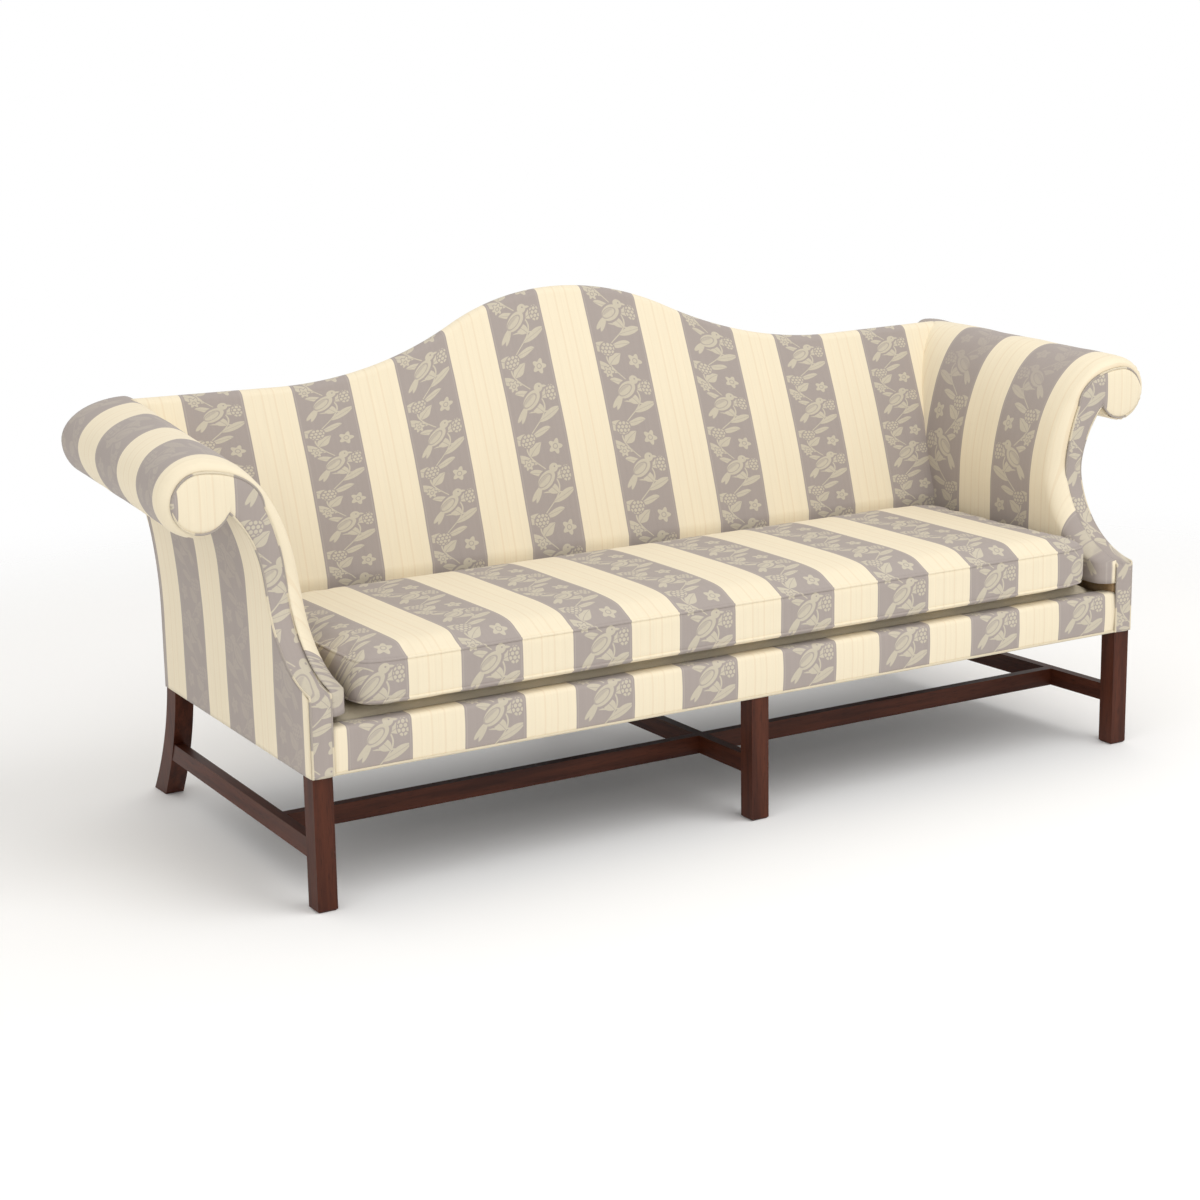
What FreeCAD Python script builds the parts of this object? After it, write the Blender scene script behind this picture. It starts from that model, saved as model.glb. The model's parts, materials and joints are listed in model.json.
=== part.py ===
import FreeCAD, Part
import math
import os
import re
import Sketcher
from FreeCAD import Vector

# A camelback sofa with rolled, swept arms, straight front legs and stretchers.
# X runs along the sofa, Y from front to back and Z up. The origin is on the
# floor, half way along and half way deep. Lengths are millimetres.
# "Out" is a distance from the middle of the sofa towards an end, and "back" is
# a distance behind the face of the front legs.

doc = FreeCAD.newDocument("camelback_sofa")
sheet = doc.addObject("Spreadsheet::Sheet", "Sizes")

sizes = {
    # stand and seat frame
    "half_width": 930.0,            # middle of the sofa to the outer face of a front leg
    "side_depth": 724.0,            # front leg face to the outside back
    "side_taper": 27.0,             # each side comes in by this at the back
    "leg_square": 38.0,             # section of a front leg
    "leg_height": 243.0,            # floor to the underside of the seat frame
    "foot_ease": 3.0,               # chamfer round a front foot
    "rail_height": 78.0,
    "rail_thickness": 28.0,
    "cover": 6.0,                   # cloth and wadding over flat timber
    "tenon_length": 20.0,
    "tenon_thickness": 10.0,
    "tenon_shoulder": 6.0,
    "brace_height": 46.0,
    "block_reach": 88.0,            # corner block along each rail
    "block_height": 40.0,
    "screw_shank": 5.0,
    "screw_head": 10.0,
    "screw_length": 80.0,
    # rear legs
    "rear_leg_width": 38.0,
    "rear_leg_depth": 42.0,         # front to back where it meets the frame
    "foot_depth": 57.0,             # front to back at the floor
    "foot_reach": 857.0,            # front leg face to the back of a rear foot
    "foot_inset": 14.0,             # a rear foot stands in by this
    # stretchers
    "stretcher_top": 122.0,
    "stretcher_height": 36.0,
    "stretcher_thickness": 20.0,
    "stretcher_inset": 9.0,         # side stretcher behind the legs' outer faces
    "stretcher_back": 195.0,        # front of the long stretcher
    # swept arm front
    "sweep_depth": 165.0,           # the scroll stands this far behind the leg
    "sweep_foot": 388.0,            # height where the sweep leaves the leg line
    "sweep_top": 580.0,             # height where it turns upright
    "post_thickness": 32.0,
    "facing_width": 39.0,
    "facing_neck": 530.0,           # height where the facing begins to roll out
    "outer_neck": 540.0,
    "shoulder_out": 34.0,           # facing's inner edge at its shoulder, from the neck
    "shoulder_drop": 18.0,          # shoulder below the scroll's centre
    # arm roll, at the front and at the back
    "roll_radius": 65.0,
    "roll_radius_rear": 70.0,
    "roll_reach_front": 117.0,      # roll's centre beyond the leg's outer face
    "roll_height_front": 717.0,
    "roll_reach_rear": 81.0,
    "roll_height_rear": 745.0,
    "crown_shift_front": 12.0,      # top of the roll, inwards from its centre
    "crown_shift_rear": 50.0,
    "throat_in": 49.0,
    "throat_drop": 38.0,
    "lip_in": 7.0,                  # scroll's centre inwards from the roll's
    "lip_drop": 8.0,                # and below it
    "lip": 12.0,                    # scroll smaller than the roll by this
    "wall_inset_front": 73.0,       # inside of the arm, in from the leg's outer face
    "wall_inset_rear": 75.0,
    "wall_top_front": 510.0,        # height where the inside arm begins to roll out
    "wall_top_rear": 480.0,
    "lining_front": 28.0,           # stuffing on the inside of the arm
    "lining_rear": 14.0,
    "lining_swell": 20.0,           # thicker under the roll
    "lining_rise": 10.0,
    "outer_neck_rear": 390.0,
    "arm_rail_width": 95.0,
    "arm_rail_height": 34.0,
    "arm_rail_drop": 22.0,
    "tack_rail_width": 22.0,
    "tack_rail_height": 40.0,
    # back
    "seat_line": 455.0,             # height where the cushion meets the back
    "back_depth": 546.0,            # front leg face to the inside back there
    "back_lean": 20.0,              # degrees
    "crest_height": 957.0,
    "crest_radius": 600.0,
    "dip_height": 811.0,
    "dip_inset": 280.0,             # lowest point of the back, in from the leg's outer face
    "wing_height": 815.0,
    "back_inset": 2.0,              # end of the back, over the arm
    "crest_thickness": 50.0,
    "crest_padding": 14.0,
    "crest_rail_height": 75.0,
    "back_post_width": 40.0,
    "back_post_drop": 35.0,         # its top below the end of the crest
    "upright_width": 45.0,
    "upright_thickness": 28.0,
    "upright_out": 330.0,
    "web_width": 50.0,
    "web_thickness": 2.0,
    # springs and deck
    "spring_spacing": 150.0,
    "spring_swing": 42.0,
    "spring_pitch": 34.0,
    "wire": 4.0,
    "clip_width": 20.0,
    "clip_height": 9.0,
    "deck_thickness": 22.0,
    "rail_roll": 6.0,               # cloth over the top of the front rail
    "dust_cloth": 2.0,
    # loose seat cushion
    "cushion_gap": 4.0,             # between the cushion and each arm
    "nose_reach": 15.0,             # cushion in front of the leg line
    "cushion_seam": 84.0,           # deck to the cushion's upper seam
    "cushion_crown": 30.0,
    "cushion_draw": 5.0,            # sides drawn in between the corners
    "cushion_bulge": 5.0,
    "soft_clearance": 0.4,
}

for row, (name, value) in enumerate(sizes.items(), 1):
    sheet.set("A%d" % row, name)
    sheet.set("B%d" % row, str(value))
    sheet.setAlias("B%d" % row, name)
doc.recompute()


class Sheet:
    # the sheet's cells, read by name for shapes that are worked out in code
    def __getattr__(self, name):
        return float(sheet.get(name))


s = Sheet()

# the model stands half way deep, so every "back" distance is moved by this
front_plane = "(nose_reach - foot_reach) / 2"
shift_back = (s.nose_reach - s.foot_reach) / 2

rail_top = s.leg_height + s.rail_height
deck_low = rail_top + s.wire
deck_top = deck_low + s.deck_thickness
facing_in = s.half_width - s.facing_width
rear_outer = s.half_width - s.side_taper
post_out = rear_outer - s.cover
post_front = s.side_depth - s.rear_leg_depth
rear_face = s.side_depth - s.cover
post_rear = s.sweep_depth + s.cover + s.post_thickness
wall_front = s.half_width - s.wall_inset_front
wall_rear = s.half_width - s.wall_inset_rear
roll_out_front = s.half_width + s.roll_reach_front
roll_out_rear = s.half_width + s.roll_reach_rear
dip_out = s.half_width - s.dip_inset
back_half = s.half_width - s.back_inset
far_out = roll_out_front + 2 * s.roll_radius
far_up = s.crest_height + s.roll_radius

pieces = {}


def bound(text):
    # an expression in which each size's name points at its cell
    names = "|".join(sorted(sizes, key=len, reverse=True))
    return re.sub(r"\b(%s)\b" % names, r"Sizes.\1", text)


def keep(label, part):
    part.Label = label
    pieces[label] = part
    return part


def place(part, corner):
    for axis, text in zip("xyz", corner):
        if axis == "y":
            text = "%s + %s" % (front_plane, text)
        part.setExpression("Placement.Base." + axis, bound(text))


def block(name, lengths, corner):
    # a box whose three lengths and corner are bound to the sheet
    box = doc.addObject("Part::Box", name)
    for side, text in zip(("Length", "Width", "Height"), lengths):
        box.setExpression(side, bound(text))
    place(box, corner)
    return box


def timber(name, lengths, corner):
    # a squared timber: a dimensioned rectangle on the ground plane, padded up
    body = doc.addObject("PartDesign::Body", name)
    sketch = body.newObject("Sketcher::SketchObject", name + "_section")
    ground = [f for f in body.Origin.OriginFeatures if f.Role == "XY_Plane"][0]
    sketch.AttachmentSupport = [(ground, "")]
    sketch.MapMode = "FlatFace"
    corners = [Vector(0, 0, 0), Vector(10, 0, 0), Vector(10, 10, 0), Vector(0, 10, 0)]
    for i in range(4):
        sketch.addGeometry(Part.LineSegment(corners[i], corners[(i + 1) % 4]), False)
    for i in range(4):
        sketch.addConstraint(Sketcher.Constraint("Coincident", i, 2, (i + 1) % 4, 1))
    for i in (0, 2):
        sketch.addConstraint(Sketcher.Constraint("Horizontal", i))
    for i in (1, 3):
        sketch.addConstraint(Sketcher.Constraint("Vertical", i))
    sketch.addConstraint(Sketcher.Constraint("Coincident", 0, 1, -1, 1))
    width = sketch.addConstraint(Sketcher.Constraint("DistanceX", 0, 1, 0, 2, 10.0))
    depth = sketch.addConstraint(Sketcher.Constraint("DistanceY", 1, 1, 1, 2, 10.0))
    sketch.setExpression("Constraints[%d]" % width, bound(lengths[0]))
    sketch.setExpression("Constraints[%d]" % depth, bound(lengths[1]))
    pad = body.newObject("PartDesign::Pad", name + "_length")
    pad.Profile = sketch
    pad.setExpression("Length", bound(lengths[2]))
    body.Tip = pad
    place(body, corner)
    return body


def ease_foot(body):
    # the four lower edges of a leg are chamfered
    doc.recompute()
    pad = body.Tip
    lower = ["Edge%d" % (i + 1) for i, edge in enumerate(pad.Shape.Edges)
             if edge.BoundBox.ZMax < 0.001]
    chamfer = body.newObject("PartDesign::Chamfer", body.Name + "_foot")
    chamfer.Base = (pad, lower)
    chamfer.setExpression("Size", bound("foot_ease"))
    body.Tip = chamfer
    return body


def solid(name, shape):
    # a shape worked out in code, set back to the sofa's own origin
    feature = doc.addObject("Part::Feature", name)
    feature.Shape = shape
    feature.Placement.Base = Vector(0, shift_back, 0)
    return feature


def joined(name, parts):
    union = doc.addObject("Part::MultiFuse", name)
    union.Shapes = parts
    return union


def without(name, base, tools):
    # the base less every tool, so that what fits takes its seat from its mate
    tool = tools[0]
    if len(tools) > 1:
        tool = joined(name + "_tools", tools)
    cut = doc.addObject("Part::Cut", name)
    cut.Base = base
    cut.Tool = tool
    return cut


def mirrored(label, source):
    twin = doc.addObject("Part::Mirroring", label)
    twin.Source = source
    twin.Base = Vector(0, 0, 0)
    twin.Normal = Vector(1, 0, 0)
    return twin


def pair(name, left):
    # the left piece and its mirror image on the right
    right = mirrored(name + "_right", left)
    keep(name + "_left", left)
    keep(name + "_right", right)
    return left, right


def wire(start, steps):
    # a closed outline: a step is an end point, or a point passed and an end point
    edges = []
    here = start
    for step in steps + [start]:
        via, end = step if isinstance(step, tuple) else (None, step)
        if via is None or (via - here).cross(end - here).Length < 0.001:
            edges.append(Part.LineSegment(here, end).toShape())
        else:
            edges.append(Part.Arc(here, via, end).toShape())
        here = end
    return Part.Wire(edges)


def loft(wires, ruled=True):
    return Part.makeLoft(wires, True, ruled)


def prism(outline, along):
    return Part.Face(outline).extrude(along)


def plan(points, low, high):
    # a flat outline seen from above, raised from one height to another
    corners = [Vector(x, y, low) for x, y in points]
    return prism(wire(corners[0], corners[1:]), Vector(0, 0, high - low))


def quarter(centre, across, up, degrees):
    # a point on an ellipse's quarter, across at 0 degrees and up at 90
    turn = math.radians(degrees)
    return centre[0] + across * math.cos(turn), centre[1] + up * math.sin(turn)


def between(front, rear, back):
    # a value that changes evenly from the scroll to the outside back
    share = (back - s.sweep_depth) / (rear_face - s.sweep_depth)
    return front + (rear - front) * share


# Front legs, seat rails and their joints

def side_line(back, inset):
    # left side of the seat frame: x at a distance back, set in from the cloth
    share = (back - s.leg_square) / (s.side_depth - s.leg_square)
    return -(s.half_width - s.side_taper * share) + inset


def side_bar(front, rear, inset, thickness, low, high):
    points = [(side_line(front, inset), front),
              (side_line(front, inset) + thickness, front),
              (side_line(rear, inset) + thickness, rear),
              (side_line(rear, inset), rear)]
    return plan(points, low, high)


def rear_leg_faces(high):
    # front and rear of a rear leg at a height: straight at first, then curving back
    share = 1 - high / s.leg_height
    sweep = (share + share ** 2) / 2
    rear = s.side_depth + (s.foot_reach - s.side_depth) * sweep
    return rear - s.rear_leg_depth - (s.foot_depth - s.rear_leg_depth) * sweep, rear


# Corner blocks: a wedge in each corner, with a screw through it into the leg

block_low = s.leg_height + (s.rail_height - s.block_height) / 2
block_middle = block_low + s.block_height / 2
front_inner = s.cover + s.rail_thickness
rear_inner = rear_face - s.rail_thickness


def block_points(rail_face, leg_face, leg_side, far):
    # the wedge seen from above, notched round the leg
    near_side = side_line(leg_face, front_inner)
    far_side = side_line(far, front_inner)
    return [(leg_side, rail_face), (leg_side + s.block_reach, rail_face),
            (far_side, far), (near_side, leg_face), (leg_side, leg_face)]


def corner_block(*corner):
    return plan(block_points(*corner), block_low, block_low + s.block_height)


def block_screw(*corner):
    # a countersunk screw, from the middle of the wedge's long face to the leg's corner
    points = block_points(*corner)
    head = Vector((points[1][0] + points[2][0]) / 2, (points[1][1] + points[2][1]) / 2,
                  block_middle)
    face = Vector(points[2][0] - points[1][0], points[2][1] - points[1][1], 0)
    along = face.cross(Vector(0, 0, 1)).normalize()
    if along.x > 0:
        along = -along
    flare = (s.screw_head - s.screw_shank) / 2
    cone = Part.makeCone(s.screw_head / 2, s.screw_shank / 2, flare, head, along)
    shank = Part.makeCylinder(s.screw_shank / 2, s.screw_length, head, along)
    return cone.fuse(shank)


block_corners = [
    (front_inner, s.leg_square, -(s.half_width - s.leg_square), front_inner + s.block_reach),
    (rear_inner, post_front, -(rear_outer - s.rear_leg_width), rear_inner - s.block_reach)]
screws_left = solid("screws_left", Part.makeCompound([
    block_screw(*corner) for corner in block_corners]))
screws_right = mirrored("screws_right", screws_left)
all_screws = doc.addObject("Part::Compound", "corner_block_screws")
all_screws.Links = [screws_left, screws_right]
keep("corner_block_screws", all_screws)

stretcher_low = s.stretcher_top - s.stretcher_height
stretcher_end = rear_leg_faces(stretcher_low)[0] + 2
half_rail = "(rail_height / 2)"
front_rail_tenon = block(
    "front_rail_tenon",
    ("2 * (half_width - leg_square + tenon_length)", "tenon_thickness",
     half_rail + " - 1.5 * tenon_shoulder"),
    ("-half_width + leg_square - tenon_length",
     "cover + (rail_thickness - tenon_thickness) / 2",
     "leg_height + %s + tenon_shoulder / 2" % half_rail))
rear_rail_tenon = block(
    "rear_rail_tenon",
    ("2 * (half_width - side_taper - rear_leg_width + tenon_length)", "tenon_thickness",
     half_rail + " - 1.5 * tenon_shoulder"),
    ("-half_width + side_taper + rear_leg_width - tenon_length",
     "side_depth - cover - (rail_thickness + tenon_thickness) / 2",
     "leg_height + %s + tenon_shoulder / 2" % half_rail))
side_rail_tenon = solid("side_rail_tenon", side_bar(
    s.leg_square - s.tenon_length, post_front + s.tenon_length,
    s.cover + (s.rail_thickness - s.tenon_thickness) / 2, s.tenon_thickness,
    s.leg_height + s.tenon_shoulder, s.leg_height + (s.rail_height - s.tenon_shoulder) / 2))
side_stretcher_tenon = solid("side_stretcher_tenon", side_bar(
    s.leg_square - s.tenon_length, stretcher_end + s.tenon_shoulder * 2,
    s.stretcher_inset + (s.stretcher_thickness - s.tenon_thickness) / 2, s.tenon_thickness,
    s.stretcher_top - s.stretcher_height + s.tenon_shoulder,
    s.stretcher_top - s.tenon_shoulder))
cross_stretcher_tenon = solid("cross_stretcher_tenon", Part.makeBox(
    s.tenon_thickness, stretcher_end + 2 * s.tenon_shoulder - s.leg_square + s.tenon_length,
    s.stretcher_height - 2 * s.tenon_shoulder,
    Vector(-s.tenon_thickness / 2, s.leg_square - s.tenon_length,
           stretcher_low + s.tenon_shoulder)))
middle_leg_tenons = [block(
    name,
    ("leg_square - 2 * tenon_shoulder", "tenon_thickness", "brace_height"),
    ("-leg_square / 2 + tenon_shoulder", back, "leg_height"))
    for name, back in (
        ("front_middle_tenon", "cover + (rail_thickness - tenon_thickness) / 2"),
        ("rear_middle_tenon", "side_depth - cover - (rail_thickness + tenon_thickness) / 2"))]
brace_tenon = block(
    "brace_tenon",
    ("tenon_thickness", "side_depth - 2 * cover - 2 * tenon_shoulder",
     "rail_height - brace_height - 2 * tenon_shoulder"),
    ("-tenon_thickness / 2", "cover + tenon_shoulder",
     "leg_height + brace_height + tenon_shoulder"))

front_leg = ease_foot(timber(
    "front_leg_blank", ("leg_square", "leg_square", "leg_height + rail_height"),
    ("-half_width", "0", "0")))
front_rebate = block("front_rebate", ("leg_square", "cover", "rail_height"),
                     ("-half_width", "0", "leg_height"))
side_rebate = block("side_rebate", ("cover", "leg_square", "rail_height"),
                    ("-half_width", "0", "leg_height"))
front_leg_left, front_leg_right = pair("front_leg", without(
    "front_leg_left", front_leg,
    [front_rebate, side_rebate, front_rail_tenon, side_rail_tenon, side_stretcher_tenon,
     screws_left]))

middle_leg = ease_foot(timber(
    "middle_leg_blank", ("leg_square", "leg_square", "leg_height"),
    ("-leg_square / 2", "0", "0")))
front_leg_middle = keep("front_leg_middle", joined("front_leg_middle", [
    without("middle_leg_mortised", middle_leg, [cross_stretcher_tenon]), middle_leg_tenons[0]]))


def rear_leg_shape(outer, width, inset):
    # horizontal rectangles that move back and widen towards the foot
    sections = []
    for share in (0.0, 0.25, 0.5, 0.75, 1.0):
        high = s.leg_height * (1 - share)
        front, rear = rear_leg_faces(high)
        left = outer + inset * share
        corners = [Vector(left, front, high), Vector(left + width, front, high),
                   Vector(left + width, rear, high), Vector(left, rear, high)]
        sections.append(wire(corners[0], corners[1:]))
    return loft(sections, ruled=False)


rear_leg = solid("rear_leg_curve", rear_leg_shape(-rear_outer, s.rear_leg_width, s.foot_inset))
rear_stump = block(
    "rear_stump",
    ("rear_leg_width - cover", "rear_leg_depth - cover", "rail_height"),
    ("-half_width + side_taper + cover", "side_depth - rear_leg_depth", "leg_height"))
rear_leg_left, rear_leg_right = pair("rear_leg", without(
    "rear_leg_left", joined("rear_leg_blank", [rear_leg, rear_stump]),
    [rear_rail_tenon, side_rail_tenon, side_stretcher_tenon, screws_left]))
rear_middle = solid("rear_middle_curve", rear_leg_shape(
    -s.rear_leg_width / 2, s.rear_leg_width, 0.0))
rear_leg_middle = keep("rear_leg_middle", joined("rear_leg_middle", [
    without("rear_middle_mortised", rear_middle, [cross_stretcher_tenon]),
    middle_leg_tenons[1]]))

# Seat rails, centre brace and corner blocks

blocks_left = solid("blocks_left", Part.makeCompound([
    corner_block(*corner) for corner in block_corners]))
blocks_right = mirrored("blocks_right", blocks_left)
all_blocks = doc.addObject("Part::Compound", "blocks_plain")
all_blocks.Links = [blocks_left, blocks_right]
keep("corner_blocks", without("corner_blocks", all_blocks, [all_screws]))

front_rail = timber(
    "front_rail_blank",
    ("2 * (half_width - leg_square)", "rail_thickness", "rail_height"),
    ("-half_width + leg_square", "cover", "leg_height"))
keep("front_seat_rail", without(
    "front_seat_rail", joined("front_rail_tenoned", [front_rail, front_rail_tenon]),
    [middle_leg_tenons[0], brace_tenon, all_screws]))
rear_rail = timber(
    "rear_rail_blank",
    ("2 * (half_width - side_taper - rear_leg_width)", "rail_thickness", "rail_height"),
    ("-half_width + side_taper + rear_leg_width", "side_depth - cover - rail_thickness",
     "leg_height"))
keep("rear_seat_rail", without(
    "rear_seat_rail", joined("rear_rail_tenoned", [rear_rail, rear_rail_tenon]),
    [middle_leg_tenons[1], brace_tenon, all_screws]))
side_rail = solid("side_rail_blank", side_bar(
    s.leg_square, post_front, s.cover, s.rail_thickness, s.leg_height, rail_top))
pair("side_seat_rail", joined("side_seat_rail_left", [side_rail, side_rail_tenon]))
brace = timber(
    "brace_blank",
    ("rail_thickness", "side_depth - 2 * cover - 2 * rail_thickness",
     "rail_height - brace_height"),
    ("-rail_thickness / 2", "cover + rail_thickness", "leg_height + brace_height"))
keep("seat_brace", joined("seat_brace", [brace, brace_tenon]))

# Stretchers: the side ones run from leg to leg, the long one is halved over the cross one

side_stretcher = without("side_stretcher_coped", solid("side_stretcher_blank", side_bar(
    s.leg_square, stretcher_end, s.stretcher_inset,
    s.stretcher_thickness, stretcher_low, s.stretcher_top)), [rear_leg])
long_tenon = block(
    "long_stretcher_tenon",
    ("2 * (half_width - stretcher_inset - tenon_thickness)", "tenon_thickness",
     "stretcher_height - 2 * tenon_shoulder"),
    ("-half_width + stretcher_inset + tenon_thickness",
     "stretcher_back + (stretcher_thickness - tenon_thickness) / 2",
     "stretcher_top - stretcher_height + tenon_shoulder"))
side_stretcher_left, side_stretcher_right = pair("side_stretcher", without(
    "side_stretcher_left",
    joined("side_stretcher_tenoned", [side_stretcher, side_stretcher_tenon]), [long_tenon]))
long_blank = timber(
    "long_stretcher_blank",
    ("2 * (half_width - stretcher_inset)", "stretcher_thickness", "stretcher_height"),
    ("-half_width + stretcher_inset", "stretcher_back", "stretcher_top - stretcher_height"))
side_clear_left = solid("side_clear_left", side_bar(
    0.0, s.side_depth, -s.leg_square, s.leg_square + s.stretcher_inset + s.stretcher_thickness,
    stretcher_low, s.stretcher_top))
side_clear_right = mirrored("side_clear_right", side_clear_left)
upper_lap = block(
    "upper_lap",
    ("stretcher_thickness", "stretcher_thickness", "stretcher_height / 2"),
    ("-stretcher_thickness / 2", "stretcher_back", "stretcher_top - stretcher_height / 2"))
lower_lap = block(
    "lower_lap",
    ("stretcher_thickness", "stretcher_thickness", "stretcher_height / 2"),
    ("-stretcher_thickness / 2", "stretcher_back", "stretcher_top - stretcher_height"))
long_body = without("long_stretcher_shoulders", long_blank, [side_clear_left, side_clear_right])
keep("long_stretcher", without(
    "long_stretcher", joined("long_stretcher_tenoned", [long_body, long_tenon]), [upper_lap]))
cross_blank = solid("cross_stretcher_blank", Part.makeBox(
    s.stretcher_thickness, stretcher_end - s.leg_square, s.stretcher_height,
    Vector(-s.stretcher_thickness / 2, s.leg_square, stretcher_low)))
cross_body = without("cross_stretcher_coped", cross_blank, [rear_middle])
keep("cross_stretcher", without(
    "cross_stretcher", joined("cross_stretcher_tenoned", [cross_body, cross_stretcher_tenon]),
    [lower_lap]))

# Arms: the outlines at the scroll and at the outside back

roll_front = (roll_out_front, s.roll_height_front, s.roll_radius)
roll_rear = (roll_out_rear, s.roll_height_rear, s.roll_radius_rear)
scroll = (roll_out_front - s.lip_in, s.roll_height_front - s.lip_drop)
scroll_radius = s.roll_radius - s.lip
throat_turn = 22.0


def at(back, spot):
    # a point of the left arm from (out, up)
    return Vector(-spot[0], back, spot[1])


def ellipse_arcs(centre, across, up, first, last, count):
    # part of an ellipse between two angles, as short arcs: a point passed and an end
    step = (last - first) / count
    return [(quarter(centre, across, up, first + step * (i + 0.5)),
             quarter(centre, across, up, first + step * (i + 1))) for i in range(count)]


def inside_wall(wall, wall_top, roll, crown_shift):
    # up the inside of the arm and over to the top of the roll
    crown = (roll[0] - crown_shift, roll[1] + roll[2])
    return ellipse_arcs((crown[0], wall_top), crown[0] - wall, crown[1] - wall_top, 180, 90, 12)


def throat_of(roll):
    return (roll[0] - s.throat_in, roll[1] - s.throat_drop)


def roll_spots(roll, crown_shift):
    # from the crown out, down and under to the throat
    r = roll[2]
    over = ellipse_arcs((roll[0] - crown_shift, roll[1]), r + crown_shift, r, 90, 0, 8)
    under = quarter(roll, r, r, -45)
    lowest = (roll[0], roll[1] - r)
    reach = math.hypot(s.throat_in, s.throat_drop)
    turn = math.degrees(math.atan2(-s.throat_drop, -s.throat_in))
    tuck = quarter(roll, (r + reach) / 2, (r + reach) / 2, (turn - 90) / 2)
    return over + [(under, lowest), (tuck, throat_of(roll))]


def upright_arc(start, end):
    # the middle of an arc that leaves the start upright and passes through the end
    across = end[0] - start[0]
    up = end[1] - start[1]
    bend = (across ** 2 + up ** 2) / (2 * across)
    half = math.atan2(up, bend - across) / 2
    return start[0] + bend * (1 - math.cos(half)), start[1] + bend * math.sin(half)


def outer_spots(edge, neck, throat):
    # the outside of the arm, from the throat down to its straight part
    return upright_arc((edge, neck), throat), (edge, neck)


def outer_arcs(edge, neck, throat, count):
    # the same line from its lower edge up to the throat, in equal steps of height
    across = throat[0] - edge
    bend = (across ** 2 + (throat[1] - neck) ** 2) / (2 * across)

    def spot(share):
        high = s.leg_height + (throat[1] - s.leg_height) * share
        return edge + bend - math.sqrt(bend ** 2 - max(high - neck, 0) ** 2), high
    return [(spot((i + 0.5) / count), spot((i + 1) / count)) for i in range(count)]


def arm_section(back, wall, wall_top, roll, crown_shift, lining, hollow):
    # the arm across the sofa: stuffing round a rail, or all the room beyond its inside
    inner = inside_wall(wall, wall_top, roll, crown_shift)
    steps = [at(back, (wall, wall_top))]
    steps += [(at(back, via), at(back, end)) for via, end in inner]
    if not hollow:
        steps += [at(back, (far_out, inner[-1][1][1])), at(back, (far_out, 0))]
        return wire(at(back, (wall, 0)), steps)
    steps += [(at(back, via), at(back, end)) for via, end in roll_spots(roll, crown_shift)]
    throat = throat_of(roll)
    low = roll[1] - s.arm_rail_drop
    high = low + s.arm_rail_height
    out = throat[0] + s.arm_rail_width * 0.78
    steps += [at(back, (throat[0], low)), at(back, (out, low)), at(back, (out, high)),
              at(back, (out - s.arm_rail_width, high)),
              at(back, (wall + lining + s.lining_swell, roll[1] - s.roll_radius - s.lining_rise)),
              at(back, (wall + lining, s.wall_top_front + s.lining_rise)),
              at(back, (wall + lining, deck_top))]
    return wire(at(back, (wall, deck_top)), steps)


def arm_loft(hollow):
    sections = [
        arm_section(back, wall_front, s.wall_top_front, roll_front, s.crown_shift_front,
                    s.lining_front, hollow) for back in (0.0, s.sweep_depth)]
    sections.append(arm_section(rear_face, wall_rear, s.wall_top_rear, roll_rear,
                                s.crown_shift_rear, s.lining_rear, hollow))
    return loft(sections)


def facing_outline(back, outer):
    # the arm's front panel: a post that rolls over into a round scroll
    shoulder = (facing_in + s.shoulder_out, scroll[1] - s.shoulder_drop)
    neck_via = upright_arc((facing_in, s.facing_neck), shoulder)
    over = quarter((scroll[0], shoulder[1]), shoulder[0] - scroll[0],
                   scroll[1] + scroll_radius - shoulder[1], 52)
    top = quarter(scroll, scroll_radius, scroll_radius, 90)
    left = quarter(scroll, scroll_radius, scroll_radius, 0)
    low = quarter(scroll, scroll_radius, scroll_radius, -90)
    throat = quarter(scroll, scroll_radius, scroll_radius, -180 + throat_turn)
    waist, edge = outer_spots(outer, s.outer_neck, throat)
    arcs = [(quarter(scroll, scroll_radius, scroll_radius, 45), left),
            (quarter(scroll, scroll_radius, scroll_radius, -45), low),
            (quarter(scroll, scroll_radius, scroll_radius, (throat_turn - 270) / 2), throat),
            (waist, edge)]
    steps = [at(back, (facing_in, s.leg_height)), at(back, (facing_in, s.facing_neck)),
             (at(back, neck_via), at(back, shoulder)), (at(back, over), at(back, top))]
    steps += [(at(back, via), at(back, end)) for via, end in arcs]
    return wire(at(back, (outer, s.leg_height)), steps)


def ahead_of_sweep(depth):
    # everything in front of the swept arm front, moved back by a depth
    rise = s.sweep_top - s.sweep_foot
    bend = (s.sweep_depth ** 2 + rise ** 2) / (2 * s.sweep_depth)
    centre = (s.sweep_depth - bend, s.sweep_top)
    radius = bend + depth
    foot = s.sweep_top - math.sqrt(radius ** 2 - (depth - centre[0]) ** 2)
    half = math.asin((s.sweep_top - foot) / radius) / 2
    via = (centre[0] + radius * math.cos(half), centre[1] - radius * math.sin(half))
    def spot(back, up):
        return Vector(-far_out, back, up)
    outline = wire(spot(-s.leg_square, 0), [
        spot(depth, 0), spot(depth, foot),
        (spot(*via), spot(s.sweep_depth + depth, s.sweep_top)),
        spot(s.sweep_depth + depth, far_up), spot(-s.leg_square, far_up)])
    return prism(outline, Vector(far_out, 0, 0))


facing_prism = loft([
    facing_outline(0.0, s.half_width), facing_outline(s.leg_square, s.half_width),
    facing_outline(post_rear, -side_line(post_rear, 0.0))])
front_of_cloth = ahead_of_sweep(0.0)
front_of_post = ahead_of_sweep(s.cover)
arm_facing_shape = facing_prism.common(front_of_post).cut(front_of_cloth)
pair("arm_facing", solid("arm_facing_left", arm_facing_shape))


def scroll_throat(roll):
    # where the outside of the arm meets the underside of the scroll
    return (roll[0] - s.lip_in - scroll_radius * math.cos(math.radians(throat_turn)),
            roll[1] - s.lip_drop - scroll_radius * math.sin(math.radians(throat_turn)))


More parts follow.
